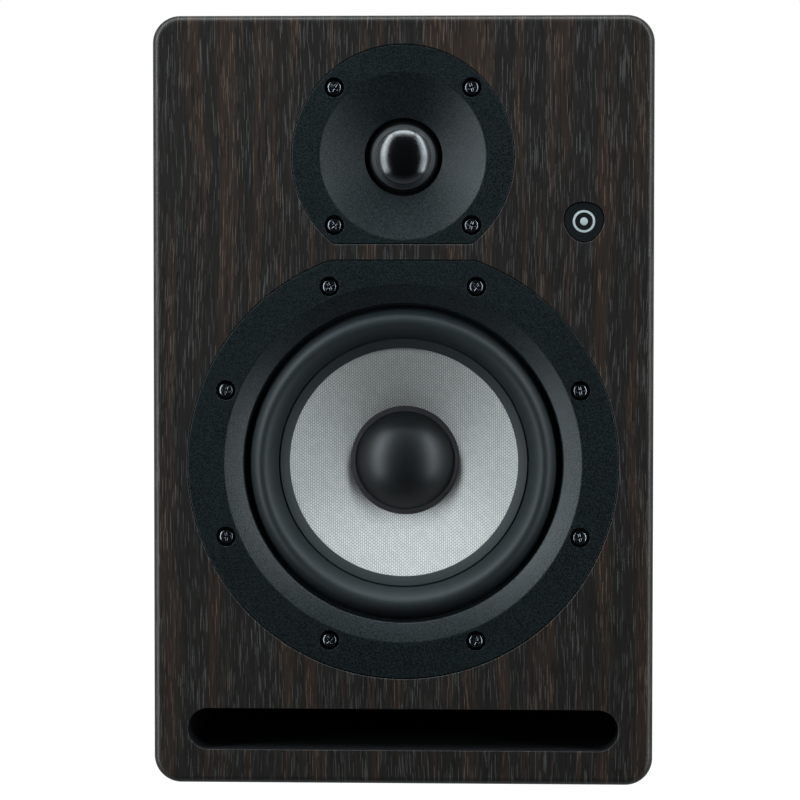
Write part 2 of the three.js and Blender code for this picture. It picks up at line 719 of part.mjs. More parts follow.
const TWEETER_MOTOR = {
  front: 12.2,
  plate: 4,
  magnet: 10,
  yoke: 5,
  radius: 33,
  magnetRadius: 35,
  magnetBore: 18,
  airGap: 14.2,
  pole: 12,
  poleFront: 12.7,
  vent: 4,
  chamberRadius: 26,
  chamberDepth: 18,
  chamberWall: 2,
};
const tweeterPlateBack = TWEETER_MOTOR.front + TWEETER_MOTOR.plate;
const tweeterMagnetFront = tweeterPlateBack + GAP;
const tweeterMagnetBack = tweeterMagnetFront + TWEETER_MOTOR.magnet;
const tweeterYokeFront = tweeterMagnetBack + GAP;
const tweeterYokeBack = tweeterYokeFront + TWEETER_MOTOR.yoke;
addPiece(tweeter, 'tweeter_coil', ring(12.6, 13.4, 12, 18.2), FINISH.copper);
addPiece(
  tweeter,
  'tweeter_top_plate',
  ring(TWEETER_MOTOR.airGap, TWEETER_MOTOR.radius, TWEETER_MOTOR.front, tweeterPlateBack),
  FINISH.steel,
);
addPiece(
  tweeter,
  'tweeter_magnet',
  ring(TWEETER_MOTOR.magnetBore, TWEETER_MOTOR.magnetRadius, tweeterMagnetFront, tweeterMagnetBack),
  FINISH.ferrite,
);
addPiece(
  tweeter,
  'tweeter_yoke',
  turned([
    [TWEETER_MOTOR.vent, TWEETER_MOTOR.poleFront], [TWEETER_MOTOR.pole, TWEETER_MOTOR.poleFront],
    [TWEETER_MOTOR.pole, tweeterYokeFront], [TWEETER_MOTOR.radius, tweeterYokeFront],
    [TWEETER_MOTOR.radius, tweeterYokeBack], [TWEETER_MOTOR.vent, tweeterYokeBack],
  ]),
  FINISH.steel,
);

const chamberBack = tweeterYokeBack + TWEETER_MOTOR.chamberDepth;
const chamberInside = TWEETER_MOTOR.chamberRadius - TWEETER_MOTOR.chamberWall;
const chamberFloor = chamberBack - TWEETER_MOTOR.chamberWall;
addPiece(
  tweeter,
  'tweeter_rear_chamber',
  turned([
    [0, chamberBack], [chamberInside, chamberBack], [TWEETER_MOTOR.chamberRadius, chamberFloor],
    [TWEETER_MOTOR.chamberRadius, tweeterYokeBack + GAP], [chamberInside, tweeterYokeBack + GAP],
    [chamberInside, chamberFloor], [0, chamberFloor],
  ]),
  FINISH.plastic,
);

// ---------------------------------------------------------------- terminal cup and binding posts

const floorY = -TERMINAL.cupDepth;
const cupOuter = [TERMINAL.cupWidth + 2 * TERMINAL.wall, TERMINAL.cupHeight + 2 * TERMINAL.wall];
const postPlaces = [
  ['positive', -TERMINAL.postSpacing / 2, FINISH.red],
  ['negative', TERMINAL.postSpacing / 2, FINISH.black],
];
const STUD = { base: 5.5, baseThickness: 2, tail: 2, tailEnd: floorY - 12, top: 1.2, socketFloor: -13 };
const cupFlange = roundedRectangle(TERMINAL.flangeWidth, TERMINAL.flangeHeight, TERMINAL.cornerRadius);
const cupInside = roundedRectangle(
  TERMINAL.cupWidth, TERMINAL.cupHeight, TERMINAL.cornerRadius - TERMINAL.wall);
addPiece(
  terminals,
  'terminal_cup',
  cut(
    join(
      extrudedY(cupFlange, GAP, GAP + TERMINAL.flangeThickness),
      extrudedY(roundedRectangle(...cupOuter, TERMINAL.cornerRadius), floorY - TERMINAL.wall, 2 * GAP),
    ),
    extrudedY(cupInside, floorY, REACH),
    ...postPlaces.map(([, x]) => rodY(STUD.tail + GAP, x, 0, floorY - REACH, floorY + GAP)),
  ),
  FINISH.plastic,
);

const studFoot = floorY + GAP;
const studFaceY = studFoot + STUD.baseThickness;
const washerFoot = studFaceY + GAP;
const WASHER = { outer: 6, thickness: 1.6 };
const washerTop = washerFoot + WASHER.thickness;
const capFoot = washerTop + GAP;
const bore = POST.stud + POST.clearance;

const studBody = turned([
  [0, STUD.tailEnd], [STUD.tail, STUD.tailEnd], [STUD.tail, studFoot], [STUD.base, studFoot],
  [STUD.base, studFaceY], [POST.stud, studFaceY], [POST.stud, STUD.top], [POST.socket, STUD.top],
  [POST.socket, STUD.socketFloor], [0, STUD.socketFloor],
]);
const wireHole = new THREE.CylinderGeometry(POST.wireHole, POST.wireHole, REACH, HOLE_SEGMENTS);
wireHole.rotateX(Math.PI / 2).translate(0, studFaceY + GAP + POST.wireHole, 0);

/** Plastic nut with rounded lobes round its side, bored to slide over the stud. */
function capShape() {
  const steps = POST.lobes * 3; // two points on each lobe, one in each flute
  const shape = new THREE.Shape(
    Array.from({ length: steps }, (_, i) => {
      const angle = (2 * Math.PI * i) / steps;
      const radius = POST.cap - (i % 3 ? 0 : POST.fluteDepth);
      return new THREE.Vector2(radius * Math.cos(angle), radius * Math.sin(angle));
    }),
  );
  shape.holes.push(new THREE.Path(arc(0, 0, bore, 0, 2 * Math.PI, SMALL_SEGMENTS)));
  return shape;
}

for (const [name, x, colour] of postPlaces) {
  const pieces = [
    [`${name}_post_stud`, cut(studBody, wireHole), FINISH.gold],
    [`${name}_post_washer`, ring(bore, WASHER.outer, washerFoot, washerTop), FINISH.gold],
    [`${name}_post_cap`, extrudedY(capShape(), capFoot, capFoot + POST.capLength), colour],
  ];
  for (const [pieceName, geometry, material] of pieces) {
    addPiece(terminals, pieceName, geometry, material).position.x = x;
  }
}

// ---------------------------------------------------------------- crossover

const BOARD = { width: 120, height: 84, thickness: 1.6, z: 190, standoff: 6, standoffRadius: 3, margin: 6 };
const boardBack = REAR_INSIDE_Y - GAP - BOARD.standoff;
const boardFront = boardBack - BOARD.thickness;
const partsBack = boardFront - GAP;
const [halfBoardX, halfBoardZ] = [BOARD.width / 2, BOARD.height / 2];
const standoffs = [[-1, -1], [-1, 1], [1, -1], [1, 1]].map(([sideX, sideZ]) => {
  const [x, z] = [sideX * (halfBoardX - BOARD.margin), sideZ * (halfBoardZ - BOARD.margin)];
  return rodY(BOARD.standoffRadius, x, BOARD.z + z, boardFront + GAP, boardBack + BOARD.standoff);
});
addPiece(
  speaker,
  'crossover_board',
  join(
    block(-halfBoardX, halfBoardX, boardFront, boardBack, BOARD.z - halfBoardZ, BOARD.z + halfBoardZ),
    ...standoffs,
  ),
  FINISH.circuitBoard,
);

for (const [name, inner, outer, height, x, z] of [
  ['woofer_inductor', 7, 17, 16, -32, 12],
  ['tweeter_inductor', 6, 12, 12, 34, -20],
]) {
  const coil = addPiece(speaker, name, ring(inner, outer, -height, 0), FINISH.copper);
  coil.position.set(x, partsBack, BOARD.z + z);
}

for (const [name, radius, length, x, z] of [
  ['woofer_capacitor', 9, 34, 26, 18],
  ['tweeter_capacitor', 7, 28, -22, -22],
]) {
  const body = new THREE.CylinderGeometry(radius, radius, length, 16).rotateZ(Math.PI / 2);
  const capacitor = addPiece(speaker, name, weld(body), FINISH.capacitor);
  capacitor.position.set(x, partsBack - radius, BOARD.z + z);
}

const RESISTOR = { x: 5, z: -3, length: 22, width: 10, height: 9 };
const resistor = addPiece(
  speaker,
  'attenuating_resistor',
  weld(new THREE.BoxGeometry(RESISTOR.length, RESISTOR.height, RESISTOR.width)),
  FINISH.resistor,
);
resistor.position.set(RESISTOR.x, partsBack - RESISTOR.height / 2, BOARD.z + RESISTOR.z);

export default speaker;
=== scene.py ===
import json
import math

import bmesh
import bpy
import numpy as np
from mathutils import Matrix, Vector
from mathutils.geometry import tessellate_polygon


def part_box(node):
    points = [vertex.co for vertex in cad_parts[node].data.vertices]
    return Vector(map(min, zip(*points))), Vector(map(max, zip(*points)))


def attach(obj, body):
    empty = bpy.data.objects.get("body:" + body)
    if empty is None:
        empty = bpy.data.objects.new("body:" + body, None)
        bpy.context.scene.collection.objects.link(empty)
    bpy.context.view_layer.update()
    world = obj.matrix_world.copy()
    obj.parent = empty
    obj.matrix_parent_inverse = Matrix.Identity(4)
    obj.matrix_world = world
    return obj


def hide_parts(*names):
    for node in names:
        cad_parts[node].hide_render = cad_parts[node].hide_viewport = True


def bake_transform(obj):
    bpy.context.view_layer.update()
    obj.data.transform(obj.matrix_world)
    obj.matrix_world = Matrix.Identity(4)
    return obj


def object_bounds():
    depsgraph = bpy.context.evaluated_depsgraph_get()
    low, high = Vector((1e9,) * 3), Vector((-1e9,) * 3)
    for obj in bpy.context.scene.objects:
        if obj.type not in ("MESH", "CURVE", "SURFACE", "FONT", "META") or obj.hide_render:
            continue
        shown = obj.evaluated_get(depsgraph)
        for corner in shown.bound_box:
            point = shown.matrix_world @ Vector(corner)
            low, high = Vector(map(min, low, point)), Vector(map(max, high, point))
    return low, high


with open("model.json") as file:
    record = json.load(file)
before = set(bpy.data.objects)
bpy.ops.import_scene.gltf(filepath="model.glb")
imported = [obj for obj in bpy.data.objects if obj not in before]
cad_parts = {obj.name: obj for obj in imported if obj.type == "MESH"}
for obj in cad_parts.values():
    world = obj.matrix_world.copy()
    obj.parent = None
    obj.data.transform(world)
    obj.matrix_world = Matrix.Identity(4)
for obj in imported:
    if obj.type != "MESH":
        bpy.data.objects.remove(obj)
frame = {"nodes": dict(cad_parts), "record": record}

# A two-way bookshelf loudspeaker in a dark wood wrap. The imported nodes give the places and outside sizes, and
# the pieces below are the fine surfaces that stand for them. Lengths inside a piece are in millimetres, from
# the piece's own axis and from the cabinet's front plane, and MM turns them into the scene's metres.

CAD_BOX = [list(corner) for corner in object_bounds()]
MM = 0.001
TAU = 2 * math.pi
RNG = np.random.default_rng(11)


def middle(node):
    """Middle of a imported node's box, in metres."""
    low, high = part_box(node)
    return (np.array(low) + np.array(high)) / 2


def extent(node):
    """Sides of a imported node's box, in millimetres."""
    low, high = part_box(node)
    return (np.array(high) - np.array(low)) / MM


FRONT = CAD_BOX[0][1]  # the plane of the baffle's face
BACK = CAD_BOX[1][1]
WIDTH = (CAD_BOX[1][0] - CAD_BOX[0][0]) / MM
HEIGHT = (CAD_BOX[1][2] - CAD_BOX[0][2]) / MM
DEPTH = (BACK - FRONT) / MM
CABINET_AXIS = (0.0, HEIGHT * MM / 2)
WOOFER_AXIS = tuple(middle("woofer_magnet")[[0, 2]])
TWEETER_AXIS = tuple(middle("tweeter_magnet")[[0, 2]])
BADGE_AXIS = tuple(middle("badge_disc")[[0, 2]])
CUP_AXIS = tuple(middle("terminal_cup")[[0, 2]])
BODY_OF = {node: body for body, nodes in frame["record"]["behaviour"]["bodies"].items() for node in nodes}


# ---------------------------------------------------------------- outlines and profiles


def arc(x, z, radius, start, stop, count):
    """Points of an arc: centre plus radius times cosine and sine of evenly spaced angles."""
    angle = np.linspace(start, stop, count)
    return np.stack([x + radius * np.cos(angle), z + radius * np.sin(angle)], axis=-1)


def rounded_rectangle(width, height, radius, corner=12, side=4):
    """Outline function: four corner arcs joined by straight sides, all of it moved out by `grow`."""

    def outline(grow=0.0):
        r = max(radius + grow, 0.4)
        x, z = width / 2 + grow - r, height / 2 + grow - r
        quarter = math.pi / 2
        arcs = [
            arc(sx * x, sz * z, r, k * quarter, (k + 1) * quarter, corner)
            for k, (sx, sz) in enumerate([(1, 1), (-1, 1), (-1, -1), (1, -1)])
        ]
        share = np.linspace(0, 1, side + 2)[1:-1, None]
        sides = [a[-1] * (1 - share) + b[0] * share for a, b in zip(arcs, arcs[1:] + arcs[:1])]
        return np.concatenate([part for pair in zip(arcs, sides) for part in pair])

    return outline


def lobed_disc(radius, lift, lobes, count=120):
    """Outline function: a circle whose radius rises and falls by `lift` with the sine of `lobes` angles."""

    def outline(grow=0.0):
        angle = np.arange(count) * TAU / count
        reach = (radius + grow + lift * np.sin(lobes * angle))[:, None]
        return reach * np.stack([np.cos(angle), np.sin(angle)], axis=-1)

    return outline


def flatted_disc(radius, flat, fillet, count=240, corner=10):
    """Outline function: a circle cut by one flat above or below, with a fillet at both ends of the flat."""
    rise = abs(flat) - fillet
    reach = math.sqrt((radius - fillet) ** 2 - rise**2)
    blend = math.atan2(rise, reach)

    def outline(grow=0.0):
        along = np.linspace(reach, -reach, 24)[1:-1]
        flat_part = np.stack([along, np.full(len(along), rise + fillet + grow)], axis=-1)
        points = np.concatenate(
            [
                arc(-reach, rise, fillet + grow, math.pi / 2, math.pi - blend, corner),
                arc(0, 0, radius + grow, math.pi - blend, TAU + blend, count)[1:-1],
                arc(reach, rise, fillet + grow, blend, math.pi / 2, corner),
                flat_part,
            ]
        )
        return points * math.copysign(1, flat)

    return outline


def softened(corners, steps=5):
    """Polyline of (across, depth, radius) corners, each replaced by the arc that touches both its sides."""
    points = [np.array(c[:2], float) for c in corners]
    radii = [c[2] if len(c) > 2 else 0 for c in corners]
    result = []
    for i, (here, radius) in enumerate(zip(points, radii)):
        if radius <= 0 or i in (0, len(points) - 1):
            result.append(here[None])
            continue
        before, after = points[i - 1] - here, points[i + 1] - here
        before, after = before / np.linalg.norm(before), after / np.linalg.norm(after)
        half = math.acos(np.clip(before @ after, -1, 1)) / 2
        reach = radius / math.tan(half)
        centre = here + (before + after) / np.linalg.norm(before + after) * radius / math.sin(half)
        first, last = here + before * reach - centre, here + after * reach - centre
        sweep = math.pi - 2 * half
        share = np.linspace(0, 1, steps + 1)[:, None]
        between = np.sin((1 - share) * sweep) * first + np.sin(share * sweep) * last
        result.append(centre + between / math.sin(sweep))
    return np.concatenate(result)


# ---------------------------------------------------------------- meshes


def placed(across_up, depth, axis, front=FRONT):
    """Outline points in millimetres and a depth behind `front`, as positions in metres."""
    flat = np.asarray(across_up, float)
    y = np.broadcast_to(np.asarray(depth, float), flat.shape[:-1])
    return np.stack([axis[0] + flat[..., 0] * MM, front + y * MM, axis[1] + flat[..., 1] * MM], axis=-1)


def swept(outline, profile, axis, front=FRONT):
    """Grid of positions: row i is the outline grown by profile[i, 0] at the depth profile[i, 1]."""
    return np.stack([placed(outline(grow), depth, axis, front) for grow, depth in profile])


def revolved(profile, axis, front=FRONT, segments=128):
    """Grid of positions: each profile point (radius, depth) carried round a circle about the Y axis."""
    angle = np.arange(segments) * TAU / segments
    circle = np.stack([np.sin(angle), np.cos(angle)], axis=-1)
    profile = np.asarray(profile, float)
    return placed(profile[:, None, :1] * circle[None], profile[:, 1:2], axis, front)


class Shell:
    """Grids of quads and filled outlines, gathered into one closed mesh and welded where they meet."""

    def __init__(self):
        self.points, self.faces, self.paints, self.uvs = [], [], [], []
        self.count = 0

    def _add(self, points, faces, paint, uv):
        self.points.append(points.reshape(-1, 3))
        self.faces.append(faces + self.count)
        self.paints.append(np.full(len(faces), paint))
        self.uvs.append(uv.reshape(-1, 2))
        self.count += len(self.points[-1])

    def grid(self, points, paint=0, closed=True, looped=False, uv=None):
        """Quads between the rows of `points`; `closed` joins the columns round, `looped` the rows."""
        rows, columns = points.shape[:2]
        index = np.arange(rows * columns).reshape(rows, columns)
        uv = np.zeros((rows, columns + 1, 2)) if uv is None else uv
        if closed:
            index = np.concatenate([index, index[:, :1]], axis=1)
        if looped:
            index = np.concatenate([index, index[:1]])
            uv = np.concatenate([uv, uv[:1]])

        def quads(table):
            return np.stack([table[:-1, :-1], table[:-1, 1:], table[1:, 1:], table[1:, :-1]], axis=2)

        columns_out = index.shape[1]
        self._add(points, quads(index).reshape(-1, 4), paint, quads(uv[:, :columns_out]).reshape(-1, 4, 2))
        return self

    def fill(self, loops, paint=0, spread=lambda points: points[:, [0, 2]]):
        """Triangles over a flat outline with holes; `spread` gives the flat pattern's coordinates."""
        points = np.concatenate(loops)
        triangles = np.array(tessellate_polygon([[Vector(p) for p in loop] for loop in loops]))
        self._add(points, triangles, paint, spread(points)[triangles])
        return self

    def piece(self, name, body, paints, replaces=(), slot=None, crease=32):
        """Makes the mesh, welds it, turns its faces outward, and lets it ride on a body."""
        mesh = bpy.data.meshes.new(name)
        faces = [face for block in self.faces for face in block.tolist()]
        mesh.from_pydata(np.concatenate(self.points).tolist(), [], faces)
        layer = mesh.uv_layers.new(name="grain")
        layer.data.foreach_set("uv", np.concatenate(self.uvs).astype(np.float32).ravel())
        mesh.polygons.foreach_set("material_index", np.concatenate(self.paints).astype(np.int32))
        work = bmesh.new()
        work.from_mesh(mesh)
        bmesh.ops.remove_doubles(work, verts=work.verts, dist=2e-7)
        bmesh.ops.dissolve_degenerate(work, edges=work.edges, dist=1e-8)
        bmesh.ops.recalc_face_normals(work, faces=work.faces)
        work.to_mesh(mesh)
        work.free()
        mesh.polygons.foreach_set("use_smooth", np.ones(len(mesh.polygons), bool))
        mesh.set_sharp_from_angle(angle=math.radians(crease))
        for paint in paints if isinstance(paints, (list, tuple)) else [paints]:
            mesh.materials.append(paint)
        piece = bpy.data.objects.new(name, mesh)
        bpy.context.scene.collection.objects.link(piece)
        if body is not None:
            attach(piece, body)
        if replaces:
            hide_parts(*replaces)
        return piece


# ---------------------------------------------------------------- shader maths


class Value:
    """One output socket of a finish; arithmetic on it adds Math nodes."""

    def __init__(self, finish, socket):
        self.finish, self.socket = finish, socket

    def _math(self, operation, *terms):
        return self.finish.node("ShaderNodeMath", {"operation": operation}, dict(enumerate(terms)))

    def __add__(self, other):
        return self._math("ADD", self, other)

    def __radd__(self, other):
        return self._math("ADD", other, self)

    def __sub__(self, other):
        return self._math("SUBTRACT", self, other)

    def __rsub__(self, other):
        return self._math("SUBTRACT", other, self)

    def __mul__(self, other):
        return self._math("MULTIPLY", self, other)

    def __rmul__(self, other):
        return self._math("MULTIPLY", other, self)

    def __truediv__(self, other):
        return self._math("DIVIDE", self, other)

    def __abs__(self):
        return self._math("ABSOLUTE", self)

    def sine(self):
        return self._math("SINE", self)

    def floor(self):
        return self._math("FLOOR", self)

    def power(self, exponent):
        return self._math("POWER", self, exponent)

    def most(self, other):
        return self._math("MAXIMUM", self, other)

    def step(self, low, high, to_low=0.0, to_high=1.0):
        """Eases from to_low to to_high while the value goes from low to high."""
        settings = {"interpolation_type": "SMOOTHSTEP"}
        ends = {"Value": self, "From Min": low, "From Max": high, "To Min": to_low, "To Max": to_high}
        return self.finish.node("ShaderNodeMapRange", settings, ends)


class Finish:
    """A node material around one Principled BSDF."""

    def __init__(self, name, **sockets):
        self.material = bpy.data.materials.new(name)
        self.material.use_nodes = True
        self.tree = self.material.node_tree
        self.shader = self.tree.nodes["Principled BSDF"]
        for key, value in sockets.items():
            self.shader.inputs[key.replace("_", " ")].default_value = value

    def node(self, kind, settings=None, inputs=None, output=0):
        """Adds a node: its settings first, then the values or links of its sockets."""
        node = self.tree.nodes.new(kind)
        for key, value in (settings or {}).items():
            setattr(node, key, value)
        for key, value in (inputs or {}).items():
            self.feed(node.inputs[key], value)
        return Value(self, node.outputs[output])

    def feed(self, socket, value):
        if isinstance(value, Value):
            self.tree.links.new(value.socket, socket)
        elif isinstance(value, tuple) and len(value) == 3 and socket.type == "RGBA":
            socket.default_value = (*value, 1)
        else:
            socket.default_value = value

    def set(self, **sockets):
        for key, value in sockets.items():
            self.feed(self.shader.inputs[key.replace("_", " ")], value)
        return self

    def place(self, scale=(1, 1, 1), offset=(0, 0, 0)):
        """Object coordinates in metres, moved and then stretched."""
        raw = self.node("ShaderNodeTexCoord", output="Object")
        moved = self.node("ShaderNodeVectorMath", {"operation": "ADD"}, {0: raw, 1: offset})
        return self.node("ShaderNodeVectorMath", {"operation": "MULTIPLY"}, {0: moved, 1: scale})

    def grain(self, scale):
        """The piece's own flat pattern coordinates, (across, along) in metres, stretched."""
        raw = self.node("ShaderNodeUVMap", {"uv_map": "grain"})
        return self.node("ShaderNodeVectorMath", {"operation": "MULTIPLY"}, {0: raw, 1: (*scale, 0)})

    def axis(self, vector, name):
        return self.node("ShaderNodeSeparateXYZ", inputs={0: vector}, output=name)

    def noise(self, vector, scale=1.0, detail=2.0, roughness=0.5, dimensions="3D"):
        inputs = {"Vector": vector, "Scale": scale, "Detail": detail, "Roughness": roughness}
        return self.node("ShaderNodeTexNoise", {"noise_dimensions": dimensions}, inputs)

    def mix(self, low, high, share):
        """Colour between two colours."""
        return self.node("ShaderNodeMix", {"data_type": "RGBA"}, {0: share, 6: low, 7: high}, output=2)

    def bump(self, height, distance, strength=1.0):
        inputs = {"Height": height, "Distance": distance, "Strength": strength}
        return self.node("ShaderNodeBump", inputs=inputs)


def tone(red, green, blue):
    """Linear colour of three display values from 0 to 255."""
    share = np.array([red, green, blue]) / 255
    linear = np.where(share <= 0.04045, share / 12.92, ((share + 0.055) / 1.055) ** 2.4)
    return tuple(float(value) for value in linear)


# ---------------------------------------------------------------- finishes


def wood_wrap():
    """Dark wenge print: black ground, ragged brown zones, fine fibres, short pale pores along the grain."""
    f = Finish("wood_wrap", Specular_IOR_Level=0.36, Specular_Tint=(1.0, 0.9, 0.84, 1))
    drift = f.noise(f.grain((9, 5)), detail=2, dimensions="2D")
    raw = f.node("ShaderNodeUVMap", {"uv_map": "grain"})
    across = f.axis(raw, "X") + (drift - 0.5) * 0.008
    along = f.axis(raw, "Y")

    def stretched(per_across, per_along, shift=0.0):
        return f.node("ShaderNodeCombineXYZ", inputs={0: across * per_across + shift, 1: along * per_along})

    fibres = f.noise(stretched(2300, 34, 3.0), detail=2, roughness=0.6, dimensions="2D")
    ragged = (fibres - 0.5) * 0.34
    zones = (f.noise(stretched(120, 5), detail=4, dimensions="2D") + ragged).step(0.48, 0.68)
    veins = (f.noise(stretched(420, 9, 9.0), detail=3, dimensions="2D") + ragged).step(0.50, 0.68)
    ground = f.mix(tone(27, 25, 24), tone(49, 36, 29), zones)
    ground = f.mix(ground, tone(18, 16, 15), fibres.step(0.52, 0.34) * 0.7)
    ground = f.mix(ground, tone(46, 39, 34), veins * (0.15 + 0.45 * zones))

    def pores(per_across, per_along, shift, chance):
        """Pale dashes: narrow stretched cells, lit in a share of them, each of its own brightness."""
        cell = {"Vector": stretched(per_across, per_along, shift), "Scale": 1.0, "Randomness": 0.9}
        kind = {"voronoi_dimensions": "2D", "feature": "F1", "distance": "CHEBYCHEV"}
        body = f.node("ShaderNodeTexVoronoi", kind, cell, output="Distance").step(0.42, 0.22)
        lot = f.axis(f.node("ShaderNodeTexVoronoi", kind, cell, output="Color"), "X")
        return body * lot.step(1 - chance, 1.0)

    dashes = pores(3000, 75, 0.0, 0.24).most(pores(3600, 115, 7.3, 0.20) * 0.8)
    hue = f.mix(tone(118, 115, 112), tone(140, 114, 95), zones)
    colour = f.mix(ground, hue, dashes * 0.50)
    relief = dashes * 0.6 + fibres * 0.4
    f.set(Base_Color=colour, Roughness=0.36 + 0.12 * fibres, Normal=f.bump(relief, 0.00005, 0.45))
    return f.material


def spattered_paint(name, dark, light, roughness):
    """Sprayed black inside the port and behind the drivers, with a fine spatter."""
    f = Finish(name, Specular_IOR_Level=0.15)
    spatter = f.noise(f.place(), scale=2600, detail=2)
    f.set(
        Base_Color=f.mix(tone(*dark), tone(*light), spatter.step(0.45, 0.75)),
        Roughness=roughness + 0.2 * spatter,
        Normal=f.bump(spatter, 0.00008, 0.5),
    )
    return f.material


def satin_plastic(name, dark, light, roughness=0.36, grain=1500, relief=0.7, shine=0.2):
    """Moulded plastic with a fine spark-eroded texture and faint flow clouds."""
    f = Finish(name, Specular_IOR_Level=shine)
    fine = f.noise(f.place(), scale=grain, detail=3, roughness=0.65)
    broad = f.noise(f.place(), scale=40, detail=2)
    f.set(
        Base_Color=f.mix(tone(*dark), tone(*light), fine.step(0.36, 0.66) * 0.85 + broad * 0.15),
        Roughness=roughness + 0.20 * (fine - 0.5) + 0.06 * (broad - 0.5),
        Normal=f.bump(fine, 0.00008, relief),
    )
    return f.material


def surround_rubber():
    """Smooth moulded rubber, faintly dusty."""
    f = Finish("surround_rubber", Specular_IOR_Level=0.34)
    cloud = f.noise(f.place(), scale=55, detail=3)
    dust = f.noise(f.place(), scale=1900, detail=2)
    f.set(
        Base_Color=f.mix(tone(19, 27, 29), tone(30, 38, 40), cloud * 0.6 + dust.step(0.5, 0.8) * 0.4),
        Roughness=0.52 + 0.08 * cloud + 0.06 * (dust - 0.5),
        Normal=f.bump(dust, 0.00002, 0.5),
    )
    return f.material


def glass_fibre():
    """Coated woven glass fibre: upright rows of small beads, each row set half a bead off from the next."""
    f = Finish("glass_fibre", Specular_IOR_Level=0.25)
    raw = f.place()
    wobble = f.noise(raw, scale=90, detail=2) * 0.00035
    u = (f.axis(raw, "X") + wobble) / (0.925 * MM)
    column = u.floor()
    v = (f.axis(raw, "Z") + wobble) / (1.39 * MM) + 0.5 * column
    bead = (abs((u * math.pi).sine()) * abs((v * math.pi).sine())).power(0.5)
    own = f.noise(f.node("ShaderNodeCombineXYZ", inputs={0: column * 0.37, 1: v.floor() * 0.41}), detail=1)
    thread = f.noise(f.place((1, 1, 0.12)), scale=3200, detail=2)
    patch = f.noise(raw, scale=160, detail=2)
    light = f.mix(tone(214, 211, 206), tone(224, 221, 216), own.step(0.35, 0.65))
    base = f.mix(tone(142, 142, 139), light, bead.step(0.15, 0.8))
    worn = thread.step(0.5, 0.8) * 0.3 + patch.step(0.5, 0.75) * 0.2
    f.set(
        Base_Color=f.mix(base, tone(176, 175, 172), worn),
        Roughness=0.50 - 0.10 * bead,
        Normal=f.bump(bead, 0.00014, 0.6),
    )
    return f.material


def pressed_paper(name, dark, light, roughness):
    """Dust cap and its glued rim: pulp under a coating, softly mottled."""
    f = Finish(name, Specular_IOR_Level=0.34)
    fine = f.noise(f.place(), scale=1300, detail=3)
    broad = f.noise(f.place(), scale=120, detail=2)
    f.set(
        Base_Color=f.mix(tone(*dark), tone(*light), fine * 0.7 + broad * 0.3),
        Roughness=roughness + 0.12 * (fine - 0.5),
        Normal=f.bump(fine, 0.00005, 0.4),
    )
    return f.material


def coated_silk():
    """Tweeter dome: fine cloth, glossy with coating over the crown and rougher at its edge; the grey over its
    outer zone is a painted reflection of the pale room round it.
    """
    f = Finish("coated_silk", Specular_IOR_Level=0.52)
    raw = f.place(offset=(-TWEETER_AXIS[0], 0, -TWEETER_AXIS[1]))
    x, z = f.axis(raw, "X"), f.axis(raw, "Z")
    pitch = 0.34 * MM
    weave = abs((x * (math.pi / pitch)).sine() * (z * (math.pi / pitch)).sine())
    lumps = f.noise(raw, scale=2600, detail=2)
    radius = (x * x + z * z).power(0.5)
    # painted reflection: this mask lays a flat grey over the dome's outer zone, from 9.4 to 10.8 mm out,
    # standing for the pale room mirrored there
    painted_reflection_zone = radius.step(9.4 * MM, 10.8 * MM)
    edge = radius.step(12.0 * MM, 13.0 * MM)
    # the painted reflection's grey, with the weave and lumps in it
    cloth = f.mix(tone(24, 26, 28), tone(33, 36, 38), weave * 0.4 + lumps * 0.6)
    f.set(
        Base_Color=f.mix(f.mix(tone(3, 4, 4), tone(9, 11, 12), weave), cloth, painted_reflection_zone),
        Roughness=0.12 + 0.06 * lumps + 0.4 * edge,
        Normal=f.bump(weave * 0.4 + lumps * 0.6, 0.00003, 0.9 - 0.6 * painted_reflection_zone),
    )
    return f.material


def soft_ripple():
    """The tweeter's surround: the same cloth, thinly coated and nearly lightless."""
    f = Finish("soft_ripple", Specular_IOR_Level=0.1)
    lumps = f.noise(f.place(), scale=1500, detail=2)
    f.set(
        Base_Color=f.mix(tone(3, 4, 5), tone(7, 8, 9), lumps),
        Roughness=0.7 + 0.2 * lumps,
        Normal=f.bump(lumps, 0.00003, 0.4),
    )
    return f.material


def metal(name, dark, light, roughness, brush=(1, 1, 1), scale=1500, relief=0.3):
    """Metal with fine brushed or plated variation; `brush` stretches the scratches."""
    f = Finish(name, Metallic=1.0)
    scratch = f.noise(f.place(brush), scale=scale, detail=3)
    cloud = f.noise(f.place(), scale=60, detail=2)
    f.set(
        Base_Color=f.mix(tone(*dark), tone(*light), scratch * 0.6 + cloud * 0.4),
        Roughness=roughness + 0.16 * (scratch - 0.5) + 0.10 * (cloud - 0.5),
        Normal=f.bump(scratch, 0.00003, relief),
    )
    return f.material


def gloss_plastic(name, dark, light, roughness=0.2):
    """Glossy moulded plastic with faint flow marks and dust."""
    f = Finish(name, Specular_IOR_Level=0.5)
    flow = f.noise(f.place((1, 0.3, 1)), scale=90, detail=3)
    dust = f.noise(f.place(), scale=1800, detail=2).step(0.6, 0.8)
    f.set(
        Base_Color=f.mix(tone(*dark), tone(*light), flow),
        Roughness=roughness + 0.08 * flow + 0.12 * dust,
        Normal=f.bump(flow, 0.00004, 0.2),
    )
    return f.material


def matt_stock(name, dark, light, scale, roughness=0.85, relief=0.0003, stretch=(1, 1, 1)):
    """Rough raw stock, such as fibreboard, ferrite, foam, wadding or ceramic, by its grain size."""
    f = Finish(name, Specular_IOR_Level=0.25)
    fine = f.noise(f.place(stretch), scale=scale, detail=5, roughness=0.65)
    broad = f.noise(f.place(), scale=scale / 18, detail=2)
    f.set(
        Base_Color=f.mix(tone(*dark), tone(*light), fine * 0.75 + broad * 0.25),
        Roughness=roughness + 0.1 * (fine - 0.5),
        Normal=f.bump(fine, relief, 0.6),
    )
    return f.material


